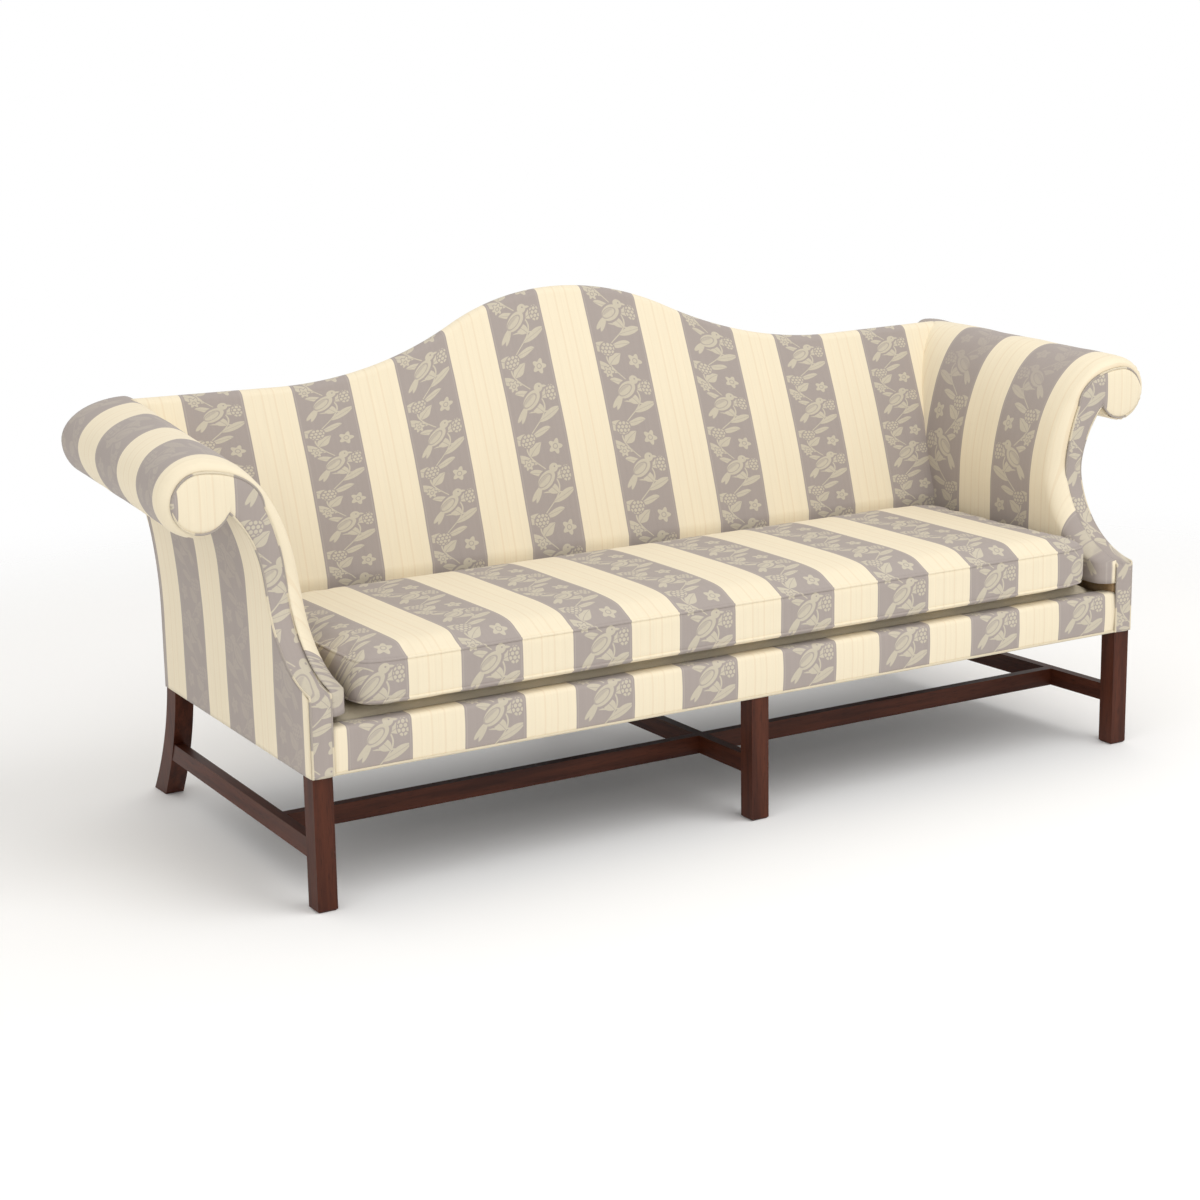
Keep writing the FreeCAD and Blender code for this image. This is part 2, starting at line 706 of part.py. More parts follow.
def outside_arm_section(back, edge, neck, roll, beyond):
    # the outside arm's panel, or all the room beyond the panel's inner face
    throat = scroll_throat(roll)
    inner_throat = (throat[0] - s.cover, throat[1] + s.cover / 2)
    steps = [at(back, (edge - s.cover, s.leg_height))]
    steps += [(at(back, via), at(back, end))
              for via, end in outer_arcs(edge - s.cover, neck, inner_throat, 12)]
    if beyond:
        return wire(at(back, (far_out, inner_throat[1])),
                    [at(back, (far_out, s.leg_height))] + steps)
    rising = outer_arcs(edge, neck, throat, 12)
    starts = [(edge, s.leg_height)] + [end for via, end in rising]
    falling = [(at(back, via), at(back, start))
               for (via, end), start in zip(rising, starts)][::-1]
    return wire(at(back, throat), falling + steps)


def outside_arm_loft(beyond):
    cuts = [(0.0, s.half_width, s.outer_neck, roll_front),
            (s.leg_square, s.half_width, s.outer_neck, roll_front),
            (s.sweep_depth, -side_line(s.sweep_depth, 0.0), s.outer_neck, roll_front),
            (rear_face, -side_line(rear_face, 0.0), s.outer_neck_rear, roll_rear)]
    return loft([outside_arm_section(*cut, beyond) for cut in cuts])


outside_arm = outside_arm_loft(False)
beyond_cover = outside_arm_loft(True)
pair("outside_arm_cover", solid("outside_arm_cover_left", outside_arm.cut(front_of_post)))

above_rail = Part.makeBox(far_out, s.side_depth, far_up, Vector(-far_out, 0, rail_top))
arm_post_shape = facing_prism.cut(front_of_post).common(above_rail)
arm_post_shape = arm_post_shape.cut(beyond_cover)
pair("arm_post", solid("arm_post_left", arm_post_shape))


def arm_rail_section(back):
    roll = (between(roll_front[0], roll_rear[0], back), between(roll_front[1], roll_rear[1], back))
    throat = throat_of(roll)
    low = roll[1] - s.arm_rail_drop
    out = throat[0] + s.arm_rail_width * 0.78
    corners = [(out, low), (out, low + s.arm_rail_height),
               (out - s.arm_rail_width, low + s.arm_rail_height), (out - s.arm_rail_width, low)]
    spots = [at(back, corner) for corner in corners]
    return wire(spots[0], spots[1:])


block_front = rear_face - s.upright_thickness
pair("arm_rail", solid("arm_rail_left", loft([
    arm_rail_section(post_rear), arm_rail_section(block_front)])))


def tack_rail_section(back):
    inner = between(wall_front + s.lining_front, wall_rear + s.lining_rear, back)
    corners = [(inner, deck_top), (inner + s.tack_rail_width, deck_top),
               (inner + s.tack_rail_width, deck_top + s.tack_rail_height),
               (inner, deck_top + s.tack_rail_height)]
    spots = [at(back, corner) for corner in corners]
    return wire(spots[0], spots[1:])


pair("arm_tack_rail", solid("arm_tack_rail_left", loft([
    tack_rail_section(post_rear), tack_rail_section(post_front)])))


def rear_block_outline(back):
    # the board that carries the back end of the roll
    out, up, round_off = roll_rear
    low = up - s.throat_drop + s.cover
    neck = roll_out_rear - s.throat_in
    spots = [(post_out, up - 2 * round_off), (post_out + round_off / 5, up - 1.3 * round_off),
             (neck + s.cover, low), (out + round_off / 3, low), (out + 0.7 * round_off, up),
             (out + 0.2 * round_off, up + 0.57 * round_off), (post_out, up + 0.43 * round_off)]
    points = [at(back, spot) for spot in spots]
    return wire(points[0], points[1:])


rear_block_shape = prism(rear_block_outline(block_front), Vector(0, s.upright_thickness, 0))
pair("arm_rear_block", solid("arm_rear_block_left", rear_block_shape.cut(beyond_cover)))

# Back frame: the crest rail follows the camel curve, in a plane that leans back

lean = math.radians(s.back_lean)
crest_rise = s.crest_height - s.dip_height
both_radii = (dip_out ** 2 + crest_rise ** 2) / (2 * crest_rise)
dip_radius = both_radii - s.crest_radius
turning = dip_out * s.crest_radius / both_radii


def camel(out):
    # height of the back: an arc over the middle, an arc through the dip, a gentle rise
    out = abs(out)
    if out < turning:
        return s.crest_height - s.crest_radius + math.sqrt(s.crest_radius ** 2 - out ** 2)
    if out < dip_out:
        hollow = math.sqrt(dip_radius ** 2 - (dip_out - out) ** 2)
        return s.dip_height + dip_radius - hollow
    share = (out - dip_out) / (back_half - dip_out)
    return s.dip_height + (s.wing_height - s.dip_height) * share


def crest_spot(x, inward, down):
    # a point of the crest: into the back and down from its front upper corner
    high = camel(x)
    face = s.back_depth + math.tan(lean) * (high - s.seat_line)
    rounding = 0.4 * s.crest_thickness * math.sin(lean)
    return Vector(x, face + inward * math.cos(lean) - down * math.sin(lean),
                  high + rounding - inward * math.sin(lean) - down * math.cos(lean))


def stations(end):
    # where the back is cut into sections, from one end to the other
    third = (dip_out - turning) / 3
    right = [turning / 2, turning, turning + third, turning + 2 * third, dip_out,
             (dip_out + end) / 2, end]
    return [-x for x in reversed(right)] + [0.0] + right


def close_stations(end):
    # closer ones for soft pieces, whose sections are joined straight
    hill = [turning * (i + 1) / 4 for i in range(4)]
    valley = [turning + (dip_out - turning) * (i + 1) / 7 for i in range(7)]
    right = hill + valley + [end]
    return [-x for x in reversed(right)] + [0.0] + right


rail_front = s.crest_padding
rail_back = s.crest_thickness
rail_head = s.crest_padding + 4
rail_foot = rail_head + s.crest_rail_height


def crest_rail_section(x):
    corners = [crest_spot(x, rail_front, rail_head), crest_spot(x, rail_back, rail_head),
               crest_spot(x, rail_back, rail_foot), crest_spot(x, rail_front, rail_foot)]
    return wire(corners[0], corners[1:])


crest_rail = keep("crest_rail", solid("crest_rail", loft(
    [crest_rail_section(x) for x in stations(post_out)], ruled=False)))

back_post = block(
    "back_post_blank",
    ("back_post_width", "rear_leg_depth - cover",
     "wing_height - back_post_drop - leg_height - rail_height"),
    ("-half_width + side_taper + cover", "side_depth - rear_leg_depth",
     "leg_height + rail_height"))
back_post_left, back_post_right = pair(
    "back_post", without("back_post_left", back_post, [crest_rail]))


def upright_shape(x):
    # a stay from the rear rail to the underside of the crest rail
    head = crest_spot(x, rail_front, rail_foot - s.crest_rail_height / 3)
    lower = rear_face - s.upright_thickness
    upper = head.y + 3
    left = x - s.upright_width / 2
    spots = [Vector(left, lower, rail_top), Vector(left, lower + s.upright_thickness, rail_top),
             Vector(left, upper + s.upright_thickness, head.z), Vector(left, upper, head.z)]
    return prism(wire(spots[0], spots[1:]), Vector(s.upright_width, 0, 0))


for side, x in (("left", -s.upright_out), ("middle", 0.0), ("right", s.upright_out)):
    keep("back_upright_" + side, without(
        "back_upright_" + side, solid("upright_blank_" + side, upright_shape(x)), [crest_rail]))

web_shapes = []
web_rise = (s.dip_height - s.seat_line) / 5
web_top = s.seat_line + 3 * web_rise + s.web_width / 2
for up in (1, 2, 3):
    low = s.seat_line + web_rise * up - s.web_width / 2
    web_shapes.append(Part.makeBox(
        2 * post_out, s.web_thickness, s.web_width,
        Vector(-post_out, post_front - s.web_thickness, low)))
back_webbing = keep("back_webbing", solid("back_webbing", Part.makeCompound(web_shapes)))

# Springs on the seat rails, and the clips that hold their ends

spring_front = s.cover + s.rail_thickness / 2
spring_rear = rear_face - s.rail_thickness / 2


def ribbon(path, width):
    # the outline of a flat wire along a zigzag path, mitred at its bends
    left, right = [], []
    for i, (x, y) in enumerate(path):
        before = path[max(i - 1, 0)]
        after = path[min(i + 1, len(path) - 1)]
        first = math.atan2(y - before[1], x - before[0]) if i else None
        last = math.atan2(after[1] - y, after[0] - x) if i < len(path) - 1 else None
        first = last if first is None else first
        last = first if last is None else last
        middle = (first + last) / 2
        reach = width / 2 / math.cos((last - first) / 2)
        left.append((x - reach * math.sin(middle), y + reach * math.cos(middle)))
        right.append((x + reach * math.sin(middle), y - reach * math.cos(middle)))
    return left + right[::-1]


def spring_shape(x):
    runs = int((spring_rear - spring_front) / s.spring_pitch)
    step = (spring_rear - spring_front) / (runs + 1)
    path = [(x, spring_front)]
    for i in range(runs):
        side = s.spring_swing / 2 * (1 if i % 2 else -1)
        path.append((x + side, spring_front + step * (i + 1)))
    path.append((x, spring_rear))
    return plan(ribbon(path, s.wire), rail_top, rail_top + s.wire)


spring_count = 2 * int((wall_rear - s.spring_swing) / s.spring_spacing + 0.5)
spring_places = [s.spring_spacing * (i - (spring_count - 1) / 2) for i in range(spring_count)]
springs = keep("seat_springs", solid(
    "seat_springs", Part.makeCompound([spring_shape(x) for x in spring_places])))
clip_shapes = []
for x in spring_places:
    for back in (spring_front, spring_rear):
        clip_shapes.append(Part.makeBox(
            s.clip_width, s.clip_width, s.wire,
            Vector(x - s.clip_width / 2, back - s.clip_width / 2, rail_top)))
clips = solid("clips_plain", Part.makeCompound(clip_shapes))
keep("spring_clips", without("spring_clips", clips, [springs]))

# Deck, front rail cover and dust cover

deck_out = wall_rear + s.lining_rear
deck_front = s.cover + s.rail_thickness
keep("seat_deck", block(
    "seat_deck",
    ("2 * (half_width - wall_inset_rear + lining_rear)",
     "side_depth - rear_leg_depth - cover - rail_thickness",
     "deck_thickness"),
    ("wall_inset_rear - half_width - lining_rear", "cover + rail_thickness",
     "leg_height + rail_height + wire")))

lip_top = rail_top + s.rail_roll
rail_cover_spots = [(0.0, s.leg_height), (0.0, lip_top), (front_inner, lip_top),
                    (front_inner, rail_top), (s.cover, rail_top), (s.cover, s.leg_height)]
rail_cover_points = [Vector(-facing_in, back, up) for back, up in rail_cover_spots]
rail_cover = prism(wire(rail_cover_points[0], rail_cover_points[1:]), Vector(2 * facing_in, 0, 0))
keep("front_rail_cover", without(
    "front_rail_cover", solid("rail_cover_plain", rail_cover), [clips, springs]))

dust_edge = s.cover + 2
dust_points = [(side_line(dust_edge, dust_edge), dust_edge),
               (-side_line(dust_edge, dust_edge), dust_edge),
               (-side_line(rear_face - 2, dust_edge), rear_face - 2),
               (side_line(rear_face - 2, dust_edge), rear_face - 2)]
dust_plain = solid("dust_plain", plan(dust_points, s.leg_height - s.dust_cloth, s.leg_height))
keep("dust_cover", without("dust_cover", dust_plain, [
    front_leg_left, front_leg_right, front_leg_middle, rear_leg_left, rear_leg_right,
    rear_leg_middle]))

# Stuffed arms

stuffing = arm_loft(True).cut(front_of_post).cut(facing_prism)
behind_post = Part.makeBox(post_out - wall_rear + s.back_post_width, s.rear_leg_depth, far_up,
                           Vector(-post_out, post_front, 0))
stuffing = stuffing.cut(rear_block_shape).cut(behind_post)
pair("inside_arm_pad", without(
    "inside_arm_pad_left", solid("stuffing_plain", stuffing), [back_webbing, crest_rail]))

# Stuffed back: it hooks over the crest rail and fits between the arms

pad_back = post_front - s.web_thickness
near = 0.2


def back_section(x):
    edge = 0.4 * s.crest_thickness
    apex = crest_spot(x, edge, 0)
    head = crest_spot(x, s.crest_thickness, rail_head - 6)
    steps = [Vector(x, s.back_depth, s.seat_line), crest_spot(x, 0, edge),
             (crest_spot(x, edge * 0.29, edge * 0.29), apex),
             (crest_spot(x, s.crest_thickness * 0.82, 3), head),
             crest_spot(x, s.crest_thickness, rail_head - near),
             crest_spot(x, rail_front - near, rail_head - near),
             crest_spot(x, rail_front - near, rail_foot + near),
             Vector(x, pad_back, web_top), Vector(x, pad_back, deck_top)]
    return wire(Vector(x, s.back_depth, deck_top), steps)


back_loft = loft([back_section(x) for x in close_stations(back_half)])
arm_room = arm_loft(False)
arm_room_right = arm_room.mirror(Vector(0, 0, 0), Vector(1, 0, 0))
back_shape = back_loft.cut(arm_room).cut(arm_room_right)
inside_back_pad = keep("inside_back_pad", without(
    "inside_back_pad", solid("inside_back_plain", back_shape), [crest_rail]))


def outside_back_section(x):
    lower = Vector(x, s.side_depth, s.leg_height)
    upper = crest_spot(x, s.crest_thickness + s.cover, s.crest_padding / 2)
    inner_upper = crest_spot(x, s.crest_thickness + near, s.crest_padding / 2)
    inner_lower = Vector(x, rear_face, s.leg_height)
    return wire(lower, [upper, inner_upper, inner_lower])


keep("outside_back_cover", solid("outside_back_cover", loft(
    [outside_back_section(x) for x in close_stations(rear_outer)])))


def wing_shape():
    # the back end of the arm, outside the back panel
    throat = throat_of(roll_rear)
    crown = (roll_rear[0] - s.crown_shift_rear, roll_rear[1] + roll_rear[2])
    waist, start = outer_spots(rear_outer, s.outer_neck_rear, throat)
    spots = [(None, (rear_outer, s.wing_height - 2 * s.cover)), (None, crown)]
    spots += roll_spots(roll_rear, s.crown_shift_rear) + [(waist, start)]
    edges = []
    here = at(rear_face, start)
    for via, end in spots:
        there = at(rear_face, end)
        if via is None:
            edges.append(Part.LineSegment(here, there).toShape())
        else:
            edges.append(Part.Arc(here, at(rear_face, via), there).toShape())
        here = there
    return prism(Part.Wire(edges), Vector(0, s.cover, 0))


pair("outside_back_wing", without(
    "outside_back_wing_left", solid("wing_plain", wing_shape()), [inside_back_pad]))

# Loose seat cushion: crowned, its sides drawn in between the corners

cushion_half = wall_rear - s.cushion_gap
cushion_low = deck_top + s.soft_clearance
cushion_rear = s.back_depth - s.cushion_gap


def cushion_section(share, back, tuck):
    # one slice across the sofa, smaller by the tuck where the boxing turns
    swell = math.sin(math.pi * min(max(share, 0.0), 1.0))
    half = cushion_half - s.cushion_bulge - s.cushion_draw * swell - 2.0 * tuck
    low = cushion_low + tuck / 2
    seam = cushion_low + s.cushion_seam - tuck / 2
    crown = seam + s.cushion_crown * (0.3 + 0.7 * swell ** 0.6) - tuck
    edge = half * 0.13
    middle = (low + seam) / 2
    rise = crown - seam
    right = [Vector(half, back, low),
             (Vector(half + s.cushion_bulge, back, middle), Vector(half, back, seam)),
             (Vector(half - edge * 0.4, back, seam + rise * 0.55),
              Vector(half - edge, back, seam + rise * 0.85)),
             (Vector(0, back, crown), Vector(-half + edge, back, seam + rise * 0.85)),
             (Vector(-half + edge * 0.4, back, seam + rise * 0.55), Vector(-half, back, seam)),
             (Vector(-half - s.cushion_bulge, back, middle), Vector(-half, back, low))]
    edges = []
    here = right[0]
    for via, end in right[1:]:
        edges.append(Part.Arc(here, via, end).toShape())
        here = end
    edges.append(Part.LineSegment(here, right[0]).toShape())
    return Part.Wire(edges)


cushion_depth = cushion_rear + s.nose_reach
cushion_cuts = [(0.0, 0.0, 7.0), (0.01, 6.0, 2.5), (0.04, 22.0, 0.0)]
cushion_cuts += [(share, cushion_depth * share, 0.0) for share in (0.2, 0.35, 0.5, 0.65, 0.8)]
cushion_cuts += [(0.96, cushion_depth - 22.0, 0.0), (0.99, cushion_depth - 6.0, 2.5),
                 (1.0, cushion_depth, 7.0)]
cushion = keep("seat_cushion", solid("seat_cushion", loft([
    cushion_section(share, back - s.nose_reach, tuck) for share, back, tuck in cushion_cuts])))

# Every object is whole and every piece is a valid closed shape before anything is written

doc.recompute()
for item in doc.Objects:
    if "Invalid" in item.State or "Error" in item.State:
        raise RuntimeError("%s did not recompute: %s" % (item.Label, item.State))
for label, part in pieces.items():
    shape = part.Shape
    if shape.isNull() or not shape.isValid() or not shape.Solids:
        raise RuntimeError("%s is not a valid solid" % label)

os.makedirs("parts", exist_ok=True)
for label, part in pieces.items():
    part.Shape.exportStep("parts/%s.step" % label)
    print("%-24s %3d solids  %10.0f mm3" % (label, len(part.Shape.Solids), part.Shape.Volume))
print("pieces", len(pieces))
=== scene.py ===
import bmesh
import bpy
import json
import math
import numpy as np
from mathutils import Matrix, Vector
from mathutils.bvhtree import BVHTree


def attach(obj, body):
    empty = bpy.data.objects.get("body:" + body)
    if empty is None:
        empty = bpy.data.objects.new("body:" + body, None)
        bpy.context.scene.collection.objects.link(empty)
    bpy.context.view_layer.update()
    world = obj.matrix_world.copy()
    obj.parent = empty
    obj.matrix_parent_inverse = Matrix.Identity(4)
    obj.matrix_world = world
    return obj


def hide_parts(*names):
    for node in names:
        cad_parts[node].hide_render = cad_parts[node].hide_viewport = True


# A camelback sofa: striped cloth over stuffed arms and back, a loose bench
# cushion, dark legs and stretchers. Shapes are worked out in millimetres from
# the middle of the sofa ("out"), from the front leg face ("back") and from the
# floor ("up"), and are turned into metres as each mesh is made.

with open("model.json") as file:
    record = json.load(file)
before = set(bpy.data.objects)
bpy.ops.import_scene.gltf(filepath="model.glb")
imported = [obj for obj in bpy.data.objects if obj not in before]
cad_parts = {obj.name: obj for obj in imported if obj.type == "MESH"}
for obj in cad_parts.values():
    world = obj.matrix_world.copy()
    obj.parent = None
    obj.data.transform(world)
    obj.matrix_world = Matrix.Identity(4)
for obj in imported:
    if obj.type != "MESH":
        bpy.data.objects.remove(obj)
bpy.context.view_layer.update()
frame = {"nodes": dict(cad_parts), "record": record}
print("frame loaded")

sofa = {
    "halfWidth": 930.0, "rearHalfWidth": 903.0, "sideDepth": 724.0, "legSquare": 38.0,
    "legHeight": 243.0, "frameDepth": 421.0,      # front leg face to the origin
    "clothDepth": 6.0,
}

cloth = {"repeat": 0.2286, "cream": 0.1036, "figure": 0.170, "skin": 0.003}     # metres

arm = {
    "sweepDepth": 165.0, "sweepFoot": 388.0, "sweepTop": 580.0,
    "facingIn": 891.0, "facingNeck": 530.0, "shoulder": (925.0, 691.0),
    "scroll": (1040.0, 709.0), "scrollRadius": 53.0, "throatTurn": 22.0, "outerNeck": 540.0,
    "rollFront": (1047.0, 717.0, 65.0), "rollRear": (1011.0, 745.0, 70.0),
    "crownFront": 12.0, "crownRear": 50.0, "throatIn": 49.0, "throatDrop": 38.0,
    "wallFront": (857.0, 510.0), "wallRear": (855.0, 480.0), "outerNeckRear": 390.0,
    "deckTop": 347.0, "lipDepth": 26.0,
    "scrollInset": (7.0, 8.0),                    # scroll's centre from the roll's centre
    "gather": 9.5, "gatherHeight": 0.9,           # pitch and height of the lip's gathers
    "softHeight": 1.2, "softPitch": 170.0, "softCentre": (1010.0, 560.0),
    "outsideSwell": 3.0, "dome": 4.0, "piping": 2.3, "pipingForward": 3.2,
    "wingTop": 803.0, "wingTuck": 8.0, "wingTurn": -142.0,
    "greyLeft": 203.0, "greyRight": 232.0,        # where the first grey stripe starts
    "greyOutside": 21.0, "slant": 0.38,
    "creamFacingLeft": 1031.0, "creamFacingRight": 1052.0,
}

back = {
    "seatLine": 455.0, "depth": 546.0, "lean": 20.0, "peak": 957.0, "peakRadius": 600.0,
    "dip": 811.0, "dipOut": 650.0, "wing": 815.0, "half": 928.0, "thick": 50.0, "padding": 14.0,
    "crestReach": 955.0, "swell": 9.0, "crestDrop": 12.0,
    "sideHeights": (560.0, 700.0, 760.0), "sideReach": (893.0, 932.0, 955.0),
}


# meshes

def metres(points):
    """Millimetres with y from the leg face, turned to metres with y from the origin."""
    moved = np.asarray(points, float) / 1000
    moved[..., 1] -= sofa["frameDepth"] / 1000
    return moved


def meshOf(name, points, faces, uv=None):
    """A mesh from corner places (n, 3) in metres, quads (m, 4) and a uv for every quad corner."""
    mesh = bpy.data.meshes.new(name)
    mesh.vertices.add(len(points))
    mesh.vertices.foreach_set("co", np.asarray(points, np.float32).ravel())
    mesh.loops.add(faces.size)
    mesh.loops.foreach_set("vertex_index", faces.astype(np.int32).ravel())
    mesh.polygons.add(len(faces))
    mesh.polygons.foreach_set("loop_start", np.arange(0, faces.size, 4, dtype=np.int32))
    mesh.polygons.foreach_set("use_smooth", np.ones(len(faces), bool))
    if uv is not None:
        layer = mesh.uv_layers.new(name="cloth")
        layer.data.foreach_set("uv", np.asarray(uv, np.float32).ravel())
    mesh.update(calc_edges=True)
    mesh.validate()
    made = bpy.data.objects.new(name, mesh)
    bpy.context.scene.collection.objects.link(made)
    return made


def gridFaces(rows, columns, closed=False):
    """Quads over a grid of rows by columns; the last column joins the first when closed."""
    i = np.arange(rows - 1)[:, None]
    j = np.arange(columns if closed else columns - 1)[None, :]
    k = (j + 1) % columns
    quads = np.stack([i * columns + j, i * columns + k,
                      (i + 1) * columns + k, (i + 1) * columns + j], -1)
    return quads.reshape(-1, 4)


def sheetMesh(name, grid, uv, flip=False):
    """A cloth skin over a grid of points (rows, columns, 3); uv is in metres of cloth."""
    rows, columns = grid.shape[:2]
    faces = gridFaces(rows, columns)
    if flip:
        faces = faces[:, ::-1]
    made = meshOf(name, metres(grid).reshape(-1, 3), faces, uv.reshape(-1, 2)[faces.ravel()])
    solid = made.modifiers.new("thickness", "SOLIDIFY")
    solid.thickness = cloth["skin"]
    solid.offset = -1.0
    return made


def tubeMesh(name, path, radius, sides=8, closed=False, up=(0.0, 0.0, 1.0)):
    """A round cord along a path (n, 3): a circle in the plane square to the path at each point."""
    path = np.asarray(path, float)
    if closed:
        run = np.roll(path, -1, 0) - np.roll(path, 1, 0)
    else:
        run = np.gradient(path, axis=0)
    run /= np.linalg.norm(run, axis=1, keepdims=True)
    side = np.cross(run, np.asarray(up, float))
    side /= np.linalg.norm(side, axis=1, keepdims=True)
    over = np.cross(side, run)
    turn = np.linspace(0, 2 * np.pi, sides, endpoint=False)
    ring = (np.cos(turn)[None, :, None] * side[:, None, :]
            + np.sin(turn)[None, :, None] * over[:, None, :])
    points = path[:, None, :] + radius * ring
    along = np.concatenate([[0], np.cumsum(np.linalg.norm(np.diff(path, axis=0), axis=1))])
    if closed:
        points = np.concatenate([points, points[:1]], 0)
        along = np.append(along, along[-1] + np.linalg.norm(path[0] - path[-1]))
    rows = len(points)
    faces = gridFaces(rows, sides, closed=True)
    uvGrid = np.stack(np.broadcast_arrays(along[:, None] / 1000, turn[None, :] * radius / 1000), -1)
    uv = uvGrid.reshape(-1, 2)[faces.ravel()]
    if closed:
        count = (rows - 1) * sides
        faces = faces % count
        points = points[:-1]
    return meshOf(name, metres(points).reshape(-1, 3), faces, uv)


def ripple(a, b, pitch, seed):
    """Smooth uneven waves over two directions: a sum of sines with fixed odd slants and phases."""
    turns = np.random.default_rng(seed)
    total = np.zeros(np.broadcast(a, b).shape)
    for order in range(1, 5):
        slant = turns.uniform(0, 2 * np.pi)
        phase = turns.uniform(0, 2 * np.pi)
        k = 2 * np.pi * order ** 0.7 / pitch
        total = total + np.sin(k * (a * np.cos(slant) + b * np.sin(slant)) + phase) / order
    return total / 2


# outlines shared by several pieces

def lineTo(a, b, count):
    share = np.linspace(0, 1, count)[:, None]
    return np.asarray(a) * (1 - share) + np.asarray(b) * share


def turnBy(centre, across, up, first, last, count):
    """Part of an ellipse round a centre, between two angles in degrees."""
    turn = np.radians(np.linspace(first, last, count))
    return np.stack([centre[0] + across * np.cos(turn), centre[1] + up * np.sin(turn)], 1)


def uprightArc(start, end, count):
    """An arc that leaves the start upright and passes through the end."""
    across, up = end[0] - start[0], end[1] - start[1]
    bend = (across ** 2 + up ** 2) / (2 * across)
    turn = np.linspace(0, math.atan2(up, bend - across), count)
    return np.stack([start[0] + bend * (1 - np.cos(turn)), start[1] + bend * np.sin(turn)], 1)


def chain(*runs):
    """Runs end to end, each without the point that it shares with the run before."""
    return np.concatenate([runs[0]] + [run[1:] for run in runs[1:]])


counts = {"wall": 17, "over": 33, "round": 17, "under": 17, "tuck": 13}


def armSection(wall, roll, crown):
    """Inside wall, quarter ellipse to the crown, quarter ellipse out, round under to the throat."""
    top = (roll[0] - crown, roll[1] + roll[2])
    throatTurn = math.degrees(math.atan2(-arm["throatDrop"], -arm["throatIn"]))
    reach = math.hypot(arm["throatIn"], arm["throatDrop"])
    tuck = np.linspace(0, 1, counts["tuck"])
    turn = np.radians(-90 + (throatTurn + 90) * tuck)
    size = roll[2] + (reach - roll[2]) * tuck
    last = np.stack([roll[0] + size * np.cos(turn), roll[1] + size * np.sin(turn)], 1)
    return chain(
        lineTo((wall[0], arm["deckTop"]), wall, counts["wall"]),
        turnBy((top[0], wall[1]), top[0] - wall[0], top[1] - wall[1], 180, 90, counts["over"]),
        turnBy((top[0], roll[1]), roll[2] + crown, roll[2], 90, 0, counts["round"]),
        turnBy(roll, roll[2], roll[2], 0, -90, counts["under"]), last)


def facingSection():
    """The facing's edge, point for point with the arm's section: post, shoulder, scroll, throat."""
    scroll, radius, shoulder = arm["scroll"], arm["scrollRadius"], arm["shoulder"]
    half = (counts["over"] + 1) // 2
    return chain(
        lineTo((arm["facingIn"], arm["deckTop"]), (arm["facingIn"], arm["facingNeck"]),
               counts["wall"]),
        uprightArc((arm["facingIn"], arm["facingNeck"]), shoulder, half),
        turnBy((scroll[0], shoulder[1]), scroll[0] - shoulder[0],
               scroll[1] + radius - shoulder[1], 180, 90, counts["over"] - half + 1),
        turnBy(scroll, radius, radius, 90, 0, counts["round"]),
        turnBy(scroll, radius, radius, 0, -90, counts["under"]),
        turnBy(scroll, radius, radius, -90, -180 + arm["throatTurn"], counts["tuck"]))


def sweepBack(up):
    """How far back the arm's front stands at a height: upright, an arc, upright again."""
    rise = arm["sweepTop"] - arm["sweepFoot"]
    bend = (arm["sweepDepth"] ** 2 + rise ** 2) / (2 * arm["sweepDepth"])
    drop = np.clip(arm["sweepTop"] - np.asarray(up, float), 0, rise)
    return arm["sweepDepth"] - bend + np.sqrt(bend ** 2 - drop ** 2)


def camel(out):
    """Height of the back: an arc over the middle, a hollow arc to the dip, a gentle rise."""
    out = np.abs(np.asarray(out, float))
    rise = back["peak"] - back["dip"]
    both = (back["dipOut"] ** 2 + rise ** 2) / (2 * rise)
    hollow = both - back["peakRadius"]
    turning = back["dipOut"] * back["peakRadius"] / both
    hill = back["peak"] - back["peakRadius"] + np.sqrt(
        np.maximum(back["peakRadius"] ** 2 - out ** 2, 0))
    valley = back["dip"] + hollow - np.sqrt(
        np.maximum(hollow ** 2 - (back["dipOut"] - out) ** 2, 0))
    end = back["dip"] + (back["wing"] - back["dip"]) * (out - back["dipOut"]) / (
        back["half"] - back["dipOut"])
    return np.where(out < turning, hill, np.where(out < back["dipOut"], valley, end))


def crestSpot(x, inward, down):
    """A place on the leaning back, from its front upper corner into the back and down."""
    lean = math.radians(back["lean"])
    high = camel(x)
    face = back["depth"] + math.tan(lean) * (high - back["seatLine"])
    lift = 0.4 * back["thick"] * math.sin(lean)
    y = face + inward * math.cos(lean) - down * math.sin(lean)
    z = high + lift - inward * math.sin(lean) - down * math.cos(lean)
    return np.stack(np.broadcast_arrays(x, y, z), -1)


def alongOf(points):
    """Distance along a line of points, in metres."""
    steps = np.linalg.norm(np.diff(points, axis=0), axis=1)
    return np.concatenate([[0], np.cumsum(steps)]) / 1000


frontSection = armSection(arm["wallFront"], arm["rollFront"], arm["crownFront"])
rearSection = armSection(arm["wallRear"], arm["rollRear"], arm["crownRear"])
facingEdge = facingSection()
rearFace = sofa["sideDepth"] - sofa["clothDepth"]


